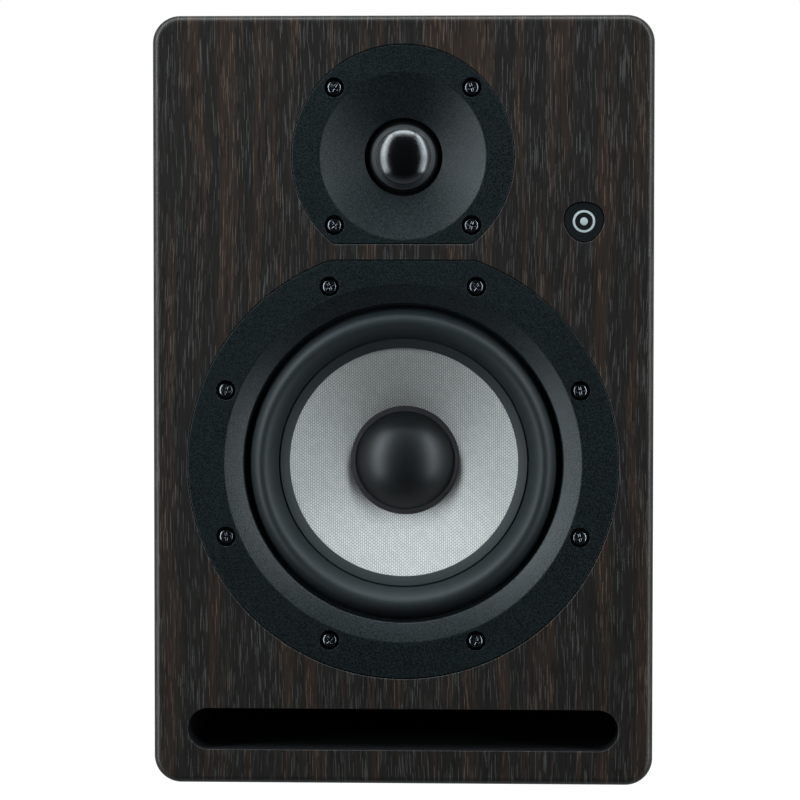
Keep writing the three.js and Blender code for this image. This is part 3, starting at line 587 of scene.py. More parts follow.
def wound_wire():
    """Enamelled copper turns side by side, as rings along Y."""
    f = Finish("copper_wire", Metallic=1.0)
    turns = abs((f.axis(f.place(), "Y") * (math.pi / (0.45 * MM))).sine())
    tint = f.noise(f.place(), scale=300, detail=2)
    f.set(
        Base_Color=f.mix(tone(96, 38, 16), tone(206, 112, 62), turns * 0.7 + tint * 0.3),
        Roughness=0.34 - 0.12 * turns,
        Normal=f.bump(turns, 0.0002, 0.8),
    )
    return f.material


def spider_cloth():
    """Resin treated cotton weave, amber."""
    f = Finish("spider_cloth", Specular_IOR_Level=0.3)
    raw = f.place()
    pitch = 0.6 * MM
    weave = abs((f.axis(raw, "X") * (math.pi / pitch)).sine() * (f.axis(raw, "Z") * (math.pi / pitch)).sine())
    f.set(
        Base_Color=f.mix(tone(120, 82, 30), tone(198, 152, 84), weave),
        Roughness=0.78 - 0.15 * weave,
        Normal=f.bump(weave, 0.00015, 0.7),
    )
    return f.material


WOOD = wood_wrap()
PAINT = spattered_paint("black_paint", (17, 17, 19), (34, 33, 37), 0.62)
DUCT_PAINT = spattered_paint("duct_paint", (6, 7, 8), (11, 12, 13), 0.8)
PLASTIC = satin_plastic("satin_plastic", (6, 12, 13), (36, 43, 45))
BASKET_PAINT = satin_plastic("powder_coat", (20, 22, 24), (34, 36, 38), 0.5, 900, 0.8, 0.5)
RUBBER = surround_rubber()
GLASS_FIBRE = glass_fibre()
CAP = pressed_paper("cap_coating", (10, 13, 14), (19, 22, 23), 0.43)
CAP_RIM = pressed_paper("cap_rim", (48, 45, 48), (66, 62, 65), 0.5)
SILK = coated_silk()
RIPPLE = soft_ripple()
BLACK_SCREW = metal("black_screw", (52, 54, 57), (86, 88, 92), 0.2, scale=2200)
STEEL = metal("plated_steel", (120, 120, 122), (190, 190, 188), 0.36, brush=(1, 8, 1))
GOLD = metal("gold_plate", (190, 140, 62), (232, 188, 108), 0.2)
FERRITE = matt_stock("ferrite", (34, 34, 37), (58, 58, 62), 900)
FIBREBOARD = matt_stock("fibreboard", (128, 98, 66), (182, 150, 108), 1400)
FOAM = matt_stock("gasket_foam", (18, 18, 19), (38, 38, 40), 1500, 0.95)
WADDING = matt_stock("wadding", (176, 174, 166), (226, 224, 216), 700, 1.0, 0.002, (1, 1, 0.35))
CERAMIC = matt_stock("resistor_ceramic", (206, 202, 190), (234, 231, 222), 1600, 0.75)
COPPER = wound_wire()
BRAID = metal("copper_braid", (120, 60, 34), (204, 128, 84), 0.4, brush=(1, 1, 0.25), scale=2400, relief=0.8)
SPIDER_CLOTH = spider_cloth()
FORMER = satin_plastic("coil_former", (176, 142, 74), (206, 176, 106), 0.45, 800, 0.3, 0.5)
RED = gloss_plastic("red_plastic", (150, 10, 14), (190, 20, 24))
BLACK_GLOSS = gloss_plastic("black_gloss_plastic", (12, 12, 13), (24, 24, 26))
BADGE_BLACK = gloss_plastic("badge_black", (8, 13, 16), (12, 18, 21), 0.3)
BADGE_WHITE = gloss_plastic("badge_white", (176, 186, 187), (200, 208, 208), 0.4)
BOARD = gloss_plastic("circuit_board", (18, 70, 44), (30, 98, 62), 0.4)
FILM = gloss_plastic("capacitor_film", (188, 146, 30), (224, 184, 62), 0.35)

SLOT_PAINTS = {
    "wood_wrap": WOOD, "fibreboard": FIBREBOARD, "black_plastic": PLASTIC, "badge": BADGE_BLACK,
    "black_screws": BLACK_SCREW, "painted_basket": BASKET_PAINT, "plated_steel": STEEL, "ferrite": FERRITE,
    "surround_rubber": RUBBER, "gasket_foam": FOAM, "glass_fibre_cone": GLASS_FIBRE, "dust_cap": CAP,
    "spider_cloth": SPIDER_CLOTH, "coil_former": FORMER, "copper_wire": COPPER, "coated_silk": SILK,
    "gold_plate": GOLD, "red_plastic": RED, "black_gloss_plastic": BLACK_GLOSS, "wadding": WADDING,
    "circuit_board": BOARD, "capacitor_film": FILM, "resistor_ceramic": CERAMIC,
}
for subpart in frame["record"]["subparts"]:
    node = frame["nodes"][subpart["node"]]
    node.data.materials.clear()
    node.data.materials.append(SLOT_PAINTS[subpart["material_slot"]])
frame["nodes"]["port_shelf"].data.materials[0] = DUCT_PAINT


# ---------------------------------------------------------------- measures taken from the frame

SLEEVE_WALL = 15.0
BAFFLE = extent("front_baffle")[1]
CORNER = 12.0
LEAD_IN = 0.2  # flat ring kept beside every softened edge, so the flat face shades flat

TRIM_RADIUS = extent("woofer_trim_ring")[0] / 2
TRIM_FLAT = (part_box("woofer_trim_ring")[1][2] - WOOFER_AXIS[1]) / MM
PLATE_RADIUS = extent("tweeter_faceplate")[0] / 2
PLATE_FLAT = (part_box("tweeter_faceplate")[0][2] - TWEETER_AXIS[1]) / MM
RECESS_GAP = 0.5
PLAY = 0.25  # what is left of the gap round the finished plates
TRIM_OUTLINE = flatted_disc(TRIM_RADIUS + PLAY, TRIM_FLAT + PLAY, 10 + PLAY)
PLATE_OUTLINE = flatted_disc(PLATE_RADIUS + PLAY, PLATE_FLAT - PLAY, 4 + PLAY, count=160)
BADGE_OUTLINE = lobed_disc(8.7, 0.4, 3)

WOOFER_SCREWS = [middle(f"woofer_screw_{i + 1}") for i in range(8)]
TWEETER_SCREWS = [middle(f"tweeter_screw_{i + 1}") for i in range(4)]
WELL_RADIUS = 4.4


# ---------------------------------------------------------------- cabinet


def recess_profile(depth, ledge, through, edge=0.35):
    """Edge of a stepped hole, from the face down its wall, in over the ledge, and out through the back."""
    return softened(
        [(edge + LEAD_IN, 0), (0, 0, edge), (0, depth, 0.3), (-ledge, depth, 0.3), (-ledge, through)], steps=4
    )


def front_baffle():
    """Rounded front panel: softened outside edge, stepped driver holes, badge pocket and port slot."""
    shell = Shell()
    outline = rounded_rectangle(WIDTH, HEIGHT, CORNER, corner=20, side=24)
    radius = 3.2
    edge = softened(
        [(-radius - LEAD_IN, 0), (0, 0, radius), (0, BAFFLE - 0.4, 0.5), (-0.9, BAFFLE - 0.02),
         (-1.4, BAFFLE)],
        steps=8,
    )
    rim = swept(outline, edge, CABINET_AXIS)
    travelled = np.concatenate([[0], np.cumsum(np.linalg.norm(np.diff(edge, axis=0), axis=1))]) * MM
    base = outline(-radius) * MM
    outward = outline(1.0) - outline(0.0)
    spread = base[None] + outward[None] * (travelled[:, None, None] - LEAD_IN * MM)
    spread[..., 1] += CABINET_AXIS[1]
    rim_uv = np.concatenate([spread, spread[:, :1]], axis=1)
    shell.grid(rim, uv=rim_uv)

    woofer_hole = flatted_disc(TRIM_RADIUS + RECESS_GAP, TRIM_FLAT + RECESS_GAP, 10 + RECESS_GAP)
    tweeter_hole = flatted_disc(PLATE_RADIUS + RECESS_GAP, PLATE_FLAT - RECESS_GAP, 4 + RECESS_GAP, count=160)
    slot_height = extent_of_slot()
    slot = rounded_rectangle(WIDTH - 2 * SLEEVE_WALL, slot_height, slot_height / 2 - 0.01, corner=24, side=24)
    slot_axis = (0.0, (SLEEVE_WALL + slot_height / 2) * MM)
    straight = softened([(0.3 + LEAD_IN, 0), (0, 0, 0.3), (0, BAFFLE)], steps=3)
    holes = [
        swept(woofer_hole, recess_profile(depth=8.3, ledge=17.0, through=BAFFLE), WOOFER_AXIS),
        swept(tweeter_hole, recess_profile(depth=4.9, ledge=11.6, through=BAFFLE), TWEETER_AXIS),
        swept(slot, straight, slot_axis),
    ]
    pocket_edge = softened([(0.5 + LEAD_IN, 0), (0.25, 0, 0.25), (0.25, 2.0)], steps=3)
    pocket = swept(BADGE_OUTLINE, pocket_edge, BADGE_AXIS)
    for hole in holes:
        flat = hole[..., [0, 2]]
        wall_uv = np.concatenate([flat, flat[:, :1]], axis=1)
        lip = 5  # rows of the softened edge, still under the wrap
        shell.grid(hole[:lip], uv=wall_uv[:lip])
        shell.grid(hole[lip - 1 :], paint=1)
    pocket_flat = pocket[..., [0, 2]]
    shell.grid(pocket, uv=np.concatenate([pocket_flat, pocket_flat[:, :1]], axis=1))
    shell.fill([pocket[-1]], paint=1)
    shell.fill([rim[0], *[hole[0] for hole in holes], pocket[0]])
    shell.fill([rim[-1], *[hole[-1] for hole in holes]], paint=1)
    return shell.piece("baffle_skin", "cabinet", [WOOD, PAINT], ["front_baffle"], "wood_wrap")


def extent_of_slot():
    """Height of the port slot: from the bottom panel's inner face to the underside of the port shelf."""
    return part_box("port_shelf")[0][2] / MM - SLEEVE_WALL


def sleeve():
    """Wrapped tube of the cabinet: a rounded rectangle carried back, with a softened edge at both ends."""
    shell = Shell()
    outline = rounded_rectangle(WIDTH, HEIGHT, CORNER, corner=20, side=24)
    start = BAFFLE + 0.15
    profile = softened(
        [(-1.6, start), (-0.9, start), (0, start + 0.5, 0.5), (0, DEPTH, 0.8), (-SLEEVE_WALL, DEPTH, 0.6),
         (-SLEEVE_WALL, start)],
        steps=5,
    )
    skin = swept(outline, profile, CABINET_AXIS)
    ring = outline(0.0)
    steps = np.linalg.norm(np.diff(np.concatenate([ring, ring[:1]]), axis=0), axis=1)
    along = np.concatenate([[0], np.cumsum(steps)]) * MM
    across = np.concatenate([[0], np.cumsum(np.linalg.norm(np.diff(profile, axis=0), axis=1))]) * MM
    uv = np.stack(np.broadcast_arrays(across[:, None] + 0.37, along[None]), axis=-1)
    outer = len(profile) - 4
    shell.grid(skin[:outer], uv=uv[:outer])
    shell.grid(skin[outer - 1 :], paint=1)
    shell.grid(np.stack([skin[-1], skin[0]]), paint=1)
    nodes = ["left_side_panel", "right_side_panel", "top_panel", "bottom_panel"]
    return shell.piece("cabinet_sleeve", "cabinet", [WOOD, DUCT_PAINT], nodes, "wood_wrap")


def rear_panel():
    """Back board set into the sleeve, with a softened edge and the terminal cup's cutout."""
    low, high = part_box("rear_panel")
    size = extent("rear_panel")
    shell = Shell()
    profile = softened([(-0.6 - LEAD_IN, 0), (0, 0, 0.6), (0, -size[1])], steps=4)
    rim = swept(rounded_rectangle(size[0], size[2], 1.5), profile, CABINET_AXIS, high[1])
    cup = extent("terminal_cup")
    hole_profile = softened([(0.3 + LEAD_IN, 0), (0, 0, 0.3), (0, -size[1])], steps=3)
    hole = swept(rounded_rectangle(cup[0] - 13, cup[2] - 11, 8), hole_profile, CUP_AXIS, high[1])
    for grid in (rim, hole):
        flat = grid[..., [0, 2]] + np.array([0.9, 0.0])
        shell.grid(grid, uv=np.concatenate([flat, flat[:, :1]], axis=1))
    shell.fill([rim[0], hole[0]], spread=lambda points: points[:, [0, 2]] + np.array([0.9, 0.0]))
    shell.fill([rim[-1], hole[-1]], paint=1)
    return shell.piece("rear_board", "cabinet", [WOOD, FIBREBOARD], ["rear_panel"], "wood_wrap")


def badge():
    """Plain badge set a little below the face, with a softened edge, and a ring and dot laid into it."""
    face, thick = 0.5, 1.3
    edge = softened([(-0.3 - LEAD_IN, face), (0, face, 0.3), (0, face + thick)], steps=5)
    shell = Shell()
    rim = swept(BADGE_OUTLINE, edge, BADGE_AXIS)
    shell.grid(rim).fill([rim[0]]).fill([rim[-1]])
    shell.piece("badge", "cabinet", BADGE_BLACK, ["badge_disc"], "badge")
    inlay = Shell()
    for inner, outer in ((3.9, 4.9), (0.0, 1.7)):
        section = [(inner, face - 0.05), (outer, face - 0.05, 0.04), (outer, face + 0.2), (inner, face + 0.2)]
        inlay.grid(revolved(softened(section, steps=2), BADGE_AXIS, segments=96), looped=inner > 0)
    inlay.piece("badge_emblem", "cabinet", BADGE_WHITE, slot="badge")


# ---------------------------------------------------------------- screws


def screw(name, axis, seat, turn, out=-1, head=3.3, rise=2.2, replaces=()):
    """Pan head with a cross recess: a domed disc whose height drops along two crossed, tapering grooves.

    `seat` is the y of the face it is tightened on, and `out` is -1 for a head that looks forward, 1 for back.
    """
    rings, spokes = 64, 120
    radius = np.linspace(0, head, rings)[:, None]
    angle = np.arange(spokes)[None] * TAU / spokes + turn
    x, z = radius * np.cos(angle), radius * np.sin(angle)
    c, s = math.cos(turn), math.sin(turn)
    u, v = np.abs(x * c + z * s), np.abs(-x * s + z * c)
    long, short = np.maximum(u, v), np.minimum(u, v)
    shoulder = 0.42 * rise
    dome = shoulder + (rise - shoulder) * np.clip(1 - (radius / head) ** 3, 0, 1) ** 0.5
    arm, half_width, chamfer = 0.62 * head, 0.17 * head, 0.08 * head
    inward = np.minimum(half_width - short, arm - long)
    lead = 0.6 * np.clip(inward, 0, chamfer)
    well = np.clip((inward - chamfer) / (0.03 * head), 0, 1) * (0.34 * head - 0.12 * long)
    depth = lead + well
    height = dome - depth
    flat = np.stack([x, z], axis=-1)
    shell = Shell().grid(placed(flat, out * height, axis, seat))
    neck, length = 0.5 * head, 9.0
    below = [(head, shoulder), (head, 0), (neck, 0), (neck, -length), (0, -length - neck)]
    circle = np.stack([np.cos(angle[0]), np.sin(angle[0])], axis=-1)
    below = np.array(below)
    shell.grid(placed(below[:, None, :1] * circle[None], out * below[:, 1:2], axis, seat))
    return shell.piece(f"{name}_turned", "cabinet", BLACK_SCREW, replaces, "black_screws", crease=38)


# ---------------------------------------------------------------- driver plates


def screw_wells(centres, face, back):
    """Counterbored holes through a plate: crisp mouth, wall, floor and clearance hole."""
    profile = softened(
        [(WELL_RADIUS + 0.15 + LEAD_IN, face), (WELL_RADIUS, face, 0.15), (WELL_RADIUS, 3.1, 0.2), (2.3, 3.1),
         (2.3, back)],
        steps=3,
    )
    return [revolved(profile, (c[0], c[2]), segments=48) for c in centres]


def driver_plate(name, outline, axis, mouth, screws, face, back, node):
    """Flat flange with a softened outside edge, a turned mouth and counterbored screw wells."""
    shell = Shell()
    wells = screw_wells(screws, face, back)
    rim = swept(outline, softened([(-0.4 - LEAD_IN, face), (0, face, 0.4), (0, back)], steps=5), axis)
    centre = revolved(mouth, axis, segments=240)
    for grid in (rim, centre, *wells):
        shell.grid(grid)
    shell.fill([rim[0], centre[0], *[well[0] for well in wells]])
    shell.fill([rim[-1], centre[-1], *[well[-1] for well in wells]])
    return shell.piece(name, "cabinet", PLASTIC, [node], "black_plastic")


def woofer_plate():
    """The mouth is a straight bevel between two rounded corners, then a step back to the surround's foot."""
    face, back = 0.2, 4.6
    mouth = softened(
        [(79.45, face), (78.9, face, 2.0), (70.4, 5.0, 1.2), (70.1, 10.6), (73.0, 10.6), (73.0, back)],
        steps=8,
    )
    return driver_plate("woofer_trim", TRIM_OUTLINE, WOOFER_AXIS, mouth, WOOFER_SCREWS, face, back,
                        "woofer_trim_ring")


def tweeter_plate():
    """The mouth is a shallow dish whose slope grows evenly from the throat, 0.37, to the rim, 0.48."""
    face, back = 0.2, 4.4
    throat, rim = 17.2, 36.7
    share = np.linspace(1, 0, 40)
    fall = (rim - throat) * (0.37 * (1 - share) + 0.055 * (1 - share**2))
    dish = np.stack([throat + (rim - throat) * share, face + fall], axis=-1)
    tail = [(throat, 11.2), (30, 11.2), (36.8, 6.0), (36.8, back)]
    mouth = np.concatenate([[[rim + 0.6, face]], dish, tail])
    return driver_plate("tweeter_plate", PLATE_OUTLINE, TWEETER_AXIS, mouth, TWEETER_SCREWS, face, back,
                        "tweeter_faceplate")


# ---------------------------------------------------------------- woofer

CONE_SLOPE = math.tan(math.radians(30))
CONE_EDGE = 50.6
MOVING = "woofer_cone_assembly"


def cone_depth(radius):
    """Depth of the cone's front: a straight line in the radius."""
    return 13.9 + (CONE_EDGE - radius) * CONE_SLOPE


def bent(piece, weight):
    """Bakes the piece's placement into its mesh and works out each point's share from `weight`, 0 for a moving
    body and 1 for the cabinet; the shares are not used.
    """
    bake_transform(piece)
    co = np.zeros(len(piece.data.vertices) * 3)
    piece.data.vertices.foreach_get("co", co)
    share = np.clip(weight(co.reshape(-1, 3)), 0, 1)
    return piece


def bent_ring(name, profile, axis, paint, node, slot, inner, outer, segments=220):
    """Turned flexible ring, left on no body; its shares, from 0 inside `inner` to 1 outside `outer`, are worked
    out by bent() but not used.
    """
    shell = Shell().grid(revolved(profile, axis, segments=segments), looped=True)
    piece = shell.piece(name, None, paint, [node], slot)

    def weight(points):
        radius = np.hypot(points[:, 0] - axis[0], points[:, 2] - axis[1]) / MM
        return (radius - inner) / (outer - inner)

    return bent(piece, weight)


def woofer_surround():
    """Half roll: depth is its foot less rise times sine to the 0.8, sinking by the square of the way in.

    The roll's inner foot is `groove` deeper than its outer one. A flat rim and a glued lip finish it.
    """
    outer, inner, foot, rise, wall, groove, rim, stock = 69.3, 55.5, 10.9, 7.6, 0.6, 0.75, 72.7, 11.5
    t = np.linspace(0, 1, 40)
    swell = np.sin(np.pi * t) ** 0.8
    roll = np.stack([outer + (inner - outer) * t, foot + groove * t**2 - rise * swell], axis=-1)
    back = np.stack([inner + wall + (outer - inner - 2 * wall) * t,
                     foot + groove * (1 - t) ** 2 - (rise - wall) * swell], axis=-1)
    lip_front, lip_back = cone_depth(CONE_EDGE) - 1.1, cone_depth(CONE_EDGE) - 0.25
    front = softened(
        [(rim, foot), (outer + 0.3, foot, 0.3), *[(*p, 0) for p in roll[2:-2]],
         (inner - 0.1, foot + groove, 0.2), (54.7, foot + 0.1, 0.3), (CONE_EDGE, lip_front, 0.25),
         (CONE_EDGE, lip_back)],
        steps=4,
    )
    under_lip = [[54.2, cone_depth(54.2) - 0.25], [54.7, foot + groove + 0.6], [55.7, foot + groove + 0.9]]
    rear = np.concatenate([under_lip, back[2:-2], [[outer - wall, stock], [rim, stock]]])
    return bent_ring("woofer_roll", np.concatenate([front, rear]), WOOFER_AXIS, RUBBER, "woofer_surround",
                     "surround_rubber", inner, outer)


def woofer_spider():
    """Corrugated disc: flat neck, then depth by a cosine of the radius, five waves, and a flat glued foot."""
    neck, start, waves, step, height, rim, wall = 19.3, 22.3, 5, 4.0, 1.0, 46.0, 0.5
    radius = np.linspace(neck, rim, 120)
    turn = np.clip((radius - start) / step, 0, waves) * TAU
    depth = 37.6 - height * (1 - np.cos(turn)) / 2
    front = np.stack([radius, depth], axis=-1)
    rear = np.stack([radius, depth + wall], axis=-1)[::-1]
    return bent_ring("woofer_spider_cloth", np.concatenate([front, rear]), WOOFER_AXIS, SPIDER_CLOTH,
                     "woofer_spider", "spider_cloth", start, 43.0, segments=120)


def woofer_cone():
    """Straight cone of woven glass fibre with a thin wall."""
    rim, neck, wall = 54.4, 19.6, 0.8
    share = np.linspace(0, 1, 30)
    radius = rim + (neck - rim) * share
    front = np.stack([radius, cone_depth(radius)], axis=-1)
    rear = np.stack([radius, cone_depth(radius) + wall], axis=-1)[::-1]
    shell = Shell().grid(revolved(np.concatenate([front, rear]), WOOFER_AXIS, segments=200), looped=True)
    return shell.piece("woofer_cone_cloth", MOVING, GLASS_FIBRE, ["woofer_cone"], "glass_fibre_cone")


def dust_cap():
    """Thin spherical cap over the coil, with a glued rim that leans outward and whose edge waves a little."""
    sphere, base, rim, foot, wall = 26.0, 21.9, 24.4, 28.0, 0.6
    centre = foot + math.sqrt(sphere**2 - base**2)
    angle = np.linspace(0, math.asin(base / sphere), 40)
    outside = np.stack([sphere * np.sin(angle), centre - sphere * np.cos(angle)], axis=-1)
    hollow = sphere - wall
    inside = np.stack([hollow * np.sin(angle), centre - hollow * np.cos(angle)], axis=-1)[::-1]
    lip = softened(
        [outside[-1], (22.05, foot - 0.12), (22.5, foot - 0.12, 0.1), (23.6, foot + 0.8, 0.3),
         (rim, foot + 1.1), (base - wall, foot + 1.1)],
        steps=4,
    )
    segments = 160
    wobble = RNG.normal(size=segments)
    wobble = np.real(np.fft.ifft(np.fft.fft(wobble) * np.exp(-(np.fft.fftfreq(segments) * 9) ** 2)))
    raised = revolved(lip, WOOFER_AXIS, segments=segments)
    radial = raised[..., [0, 2]] - np.array(WOOFER_AXIS)
    share = np.clip((np.linalg.norm(radial, axis=-1, keepdims=True) / MM - 23.0) / 1.4, 0, 1)
    raised[..., [0, 2]] = np.array(WOOFER_AXIS) + radial * (1 + 0.008 * wobble[None, :, None] * share)
    shell = Shell().grid(revolved(outside, WOOFER_AXIS, segments=segments))
    shell.grid(raised, paint=1)
    shell.grid(revolved(np.concatenate([lip[-1:], inside]), WOOFER_AXIS, segments=segments))
    return shell.piece("woofer_cap", MOVING, [CAP, CAP_RIM], ["woofer_dust_cap"], "dust_cap")


# ---------------------------------------------------------------- tweeter


def tweeter_dome():
    """Coated cloth dome: a spherical cap with a thin wall, a small flat hem and a collar down to the coil."""
    sphere, base, apex, wall, hem = 19.0, 14.0, 2.15, 0.4, 0.25
    coil_top, collar = 12.4, 13.2
    angle = np.linspace(0, math.asin(base / sphere), 44)
    outside = np.stack([sphere * np.sin(angle), apex + sphere * (1 - np.cos(angle))], axis=-1)
    hollow = sphere - wall
    inside = np.stack([hollow * np.sin(angle), apex + sphere - hollow * np.cos(angle)], axis=-1)
    under = outside[-1, 1] + wall
    edge = [[base + hem, outside[-1, 1]], [base + hem, under], [collar, under], [collar, coil_top]]
    edge += [[collar - wall, coil_top], [collar - wall, under - 0.1]]
    inside = inside[inside[:, 0] < collar - wall - 0.2]
    profile = np.concatenate([outside, edge, inside[::-1]])
    shell = Shell().grid(revolved(profile, TWEETER_AXIS, segments=160))
    return shell.piece("tweeter_cap", "tweeter_dome_assembly", SILK, ["tweeter_dome"], "coated_silk")


def tweeter_surround():
    """Skirt glued under the dome's hem, its depth falling by half a cosine wave to a flat clamped rim."""
    inner, outer, hem, foot, wall = 13.7, 16.9, 8.75, 11.7, 0.4
    t = np.linspace(0, 1, 24)
    fall = (foot - hem) * (1 - np.cos(np.pi * t)) / 2
    skirt = np.stack([inner + (outer - inner) * t, hem + fall], axis=-1)
    under = np.stack([inner - 0.15 + (outer - inner) * t, hem + wall + fall], axis=-1)[::-1]
    profile = np.concatenate([skirt, [[22.0, foot], [22.0, foot + wall]], under])
    return bent_ring("tweeter_roll", profile, TWEETER_AXIS, RIPPLE, "tweeter_surround", "coated_silk",
                     inner, outer, segments=140)


# ---------------------------------------------------------------- terminals

CUP_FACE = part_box("terminal_cup")[1][1]
CUP_FLOOR = (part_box("positive_post_stud")[0][1] + 0.012 - CUP_FACE) / MM  # the stud's tail is 12 mm long
POSTS = {name: middle(f"{name}_post_stud")[0] for name in ("positive", "negative")}


def mark(shell, at, arms, thickness=1.3, reach=3.4, rise=0.6):
    """Raised plus or minus: bars with softened tops; the plus has four arms round one outline."""
    half = thickness / 2
    if arms == 2:
        outline = rounded_rectangle(2 * reach, thickness, 0.5, corner=4, side=1)
    else:
        quarter_turn = np.array([[0, 1], [-1, 0]])
        quarters = [np.array([[reach, -half], [reach, half], [half, half]])]
        for _ in range(3):
            quarters.append(quarters[-1] @ quarter_turn)
        points = np.concatenate(quarters)

        def outline(grow=0.0):
            return points + np.sign(points) * grow

    top = softened([(-0.25, rise), (0, rise, 0.15), (0.08, -0.1)], steps=2)
    rows = swept(outline, [(grow, CUP_FLOOR + depth) for grow, depth in top], at, CUP_FACE)
    shell.grid(rows).fill([rows[0]]).fill([rows[-1]])


def terminal_cup():
    """Moulded dish: flange with softened edges, drafted walls, a flat floor with bosses, holes and marks."""
    width, height = extent("terminal_cup")[[0, 2]]
    flange, wall, inset = 2.0, 2.5, 20.0
    shell = Shell()
    edge = softened([(-1.0, 0), (0, 0, 0.8), (0, -flange)])
    rim = swept(rounded_rectangle(width, height, 8), edge, CUP_AXIS, CUP_FACE)
    mouth = rounded_rectangle(width - inset, height - 18, 5.5)
    inner = softened([(1.0, 0), (0, 0, 0.8), (-0.8, CUP_FLOOR, 1.5), (-4.0, CUP_FLOOR)], steps=6)
    dish = swept(mouth, inner, CUP_AXIS, CUP_FACE)
    outside = swept(mouth, [(wall, -flange), (wall, CUP_FLOOR - wall)], CUP_AXIS, CUP_FACE)
    holes, floors = [], []
    for x in POSTS.values():
        boss = softened([(8.4, CUP_FLOOR), (8.2, CUP_FLOOR + 0.25, 0.1), (2.3, CUP_FLOOR + 0.25),
                         (2.3, CUP_FLOOR - wall)], steps=2)
        hole = revolved(boss, (x, CUP_AXIS[1]), CUP_FACE, segments=64)
        shell.grid(hole)
        holes.append(hole[-1])
        floors.append(hole[0])
    for grid in (rim, dish, outside):
        shell.grid(grid)
    shell.fill([rim[0], dish[0]]).fill([rim[-1], outside[0]])
    shell.fill([dish[-1], *floors]).fill([outside[-1], *holes])
    for name, arms in (("positive", 4), ("negative", 2)):
        mark(shell, (POSTS[name], CUP_AXIS[1] + 15.5 * MM), arms)
    shell.piece("terminal_cup_moulding", "cabinet", PLASTIC, ["terminal_cup"], "black_plastic")
    margin = 5.0
    for i, (sx, sz) in enumerate([(-1, -1), (1, -1), (1, 1), (-1, 1)]):
        at = (CUP_AXIS[0] + sx * (width / 2 - margin) * MM, CUP_AXIS[1] + sz * (height / 2 - margin) * MM)
        screw(f"cup_screw_{i + 1}", at, CUP_FACE, 0.4 + 0.9 * i, out=1, head=2.6, rise=1.4)


def post_cap(post):
    """Bored nut: each row's radius dips by a cubed cosine of ten turns, between a collar and a round top."""
    node = f"{post}_cap"
    low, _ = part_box(node)
    rows = np.array([
        (4.3, 0.0, 0), (6.5, 0.0, 0), (6.9, 0.4, 0), (6.9, 1.7, 0), (6.5, 2.0, 0), (6.5, 2.3, 0),
        (6.9, 2.7, 0.3), (6.95, 3.5, 1), (6.95, 12.4, 1), (6.8, 13.4, 0.8), (6.4, 14.3, 0.4),
        (5.9, 14.8, 0.1), (5.4, 15.0, 0),
        (4.9, 15.0, 0), (4.6, 14.7, 0), (4.3, 14.2, 0),
    ])
    angle = np.arange(240) * TAU / 240
    flute = 0.85 * (0.5 + 0.5 * np.cos(10 * angle)) ** 3
    reach = rows[:, :1] - rows[:, 2:] * flute[None]
    flat = reach[..., None] * np.stack([np.cos(angle), np.sin(angle)], axis=-1)[None]
    at = middle(node)[[0, 2]]
    finishes = {"positive_post": (RED, "red_plastic"), "negative_post": (BLACK_GLOSS, "black_gloss_plastic")}
    paint, slot = finishes[post]
    shell = Shell().grid(placed(flat, rows[:, 1:2], at, low[1]), looped=True)
    return shell.piece(f"{post}_knob", BODY_OF[node], paint, [node], slot, crease=50)


def post_washer(post):
    """Flat ring with softened edges."""
    node = f"{post}_washer"
    low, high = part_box(node)
    thick = (high[1] - low[1]) / MM
    profile = softened(
        [(4.3, 0), (6.0, 0, 0.25), (6.0, thick, 0.25), (4.3, thick), (4.3, thick / 2)], steps=3
    )
    shell = Shell().grid(revolved(profile, middle(node)[[0, 2]], low[1], segments=72), looped=True)
    return shell.piece(f"{post}_ring", BODY_OF[node], GOLD, [node], "gold_plate")


# ---------------------------------------------------------------- soft pieces inside


def damping_pad(side):
    """Wadding on a side wall: thickness by ((1 - u^6)(1 - v^6))^0.3 and low sine lumps, with a flat back."""
    node = f"{side}_damping_pad"
    low, high = (np.array(corner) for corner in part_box(node))
    share = np.linspace(-1, 1, 60)
    u, v = np.meshgrid(share, share, indexing="ij")
    crown = (np.clip(1 - u**6, 0, 1) * np.clip(1 - v**6, 0, 1)) ** 0.3
    lumps = 1 + 0.05 * np.sin(7 * u + 2 * np.sin(5 * v)) + 0.04 * np.sin(9 * v + 3 * u)
    full = (high[0] - low[0]) * crown * np.minimum(lumps, 1.05) / 1.06
    wall, inward = (low[0], 1) if side == "left" else (high[0], -1)
    glue = 0.0003
    y = (low[1] + high[1]) / 2 + u * (high[1] - low[1]) / 2 * 0.99
    z = (low[2] + high[2]) / 2 + v * (high[2] - low[2]) / 2 * 0.99
    front = np.stack([wall + inward * (glue + full), y, z], axis=-1)
    back = np.stack([np.full_like(y, wall + inward * glue), y, z], axis=-1)
    pad = Shell().grid(front, closed=False).grid(back, closed=False).piece(
        f"{side}_wadding", BODY_OF[node], WADDING, [node], "wadding"
    )
    return pad


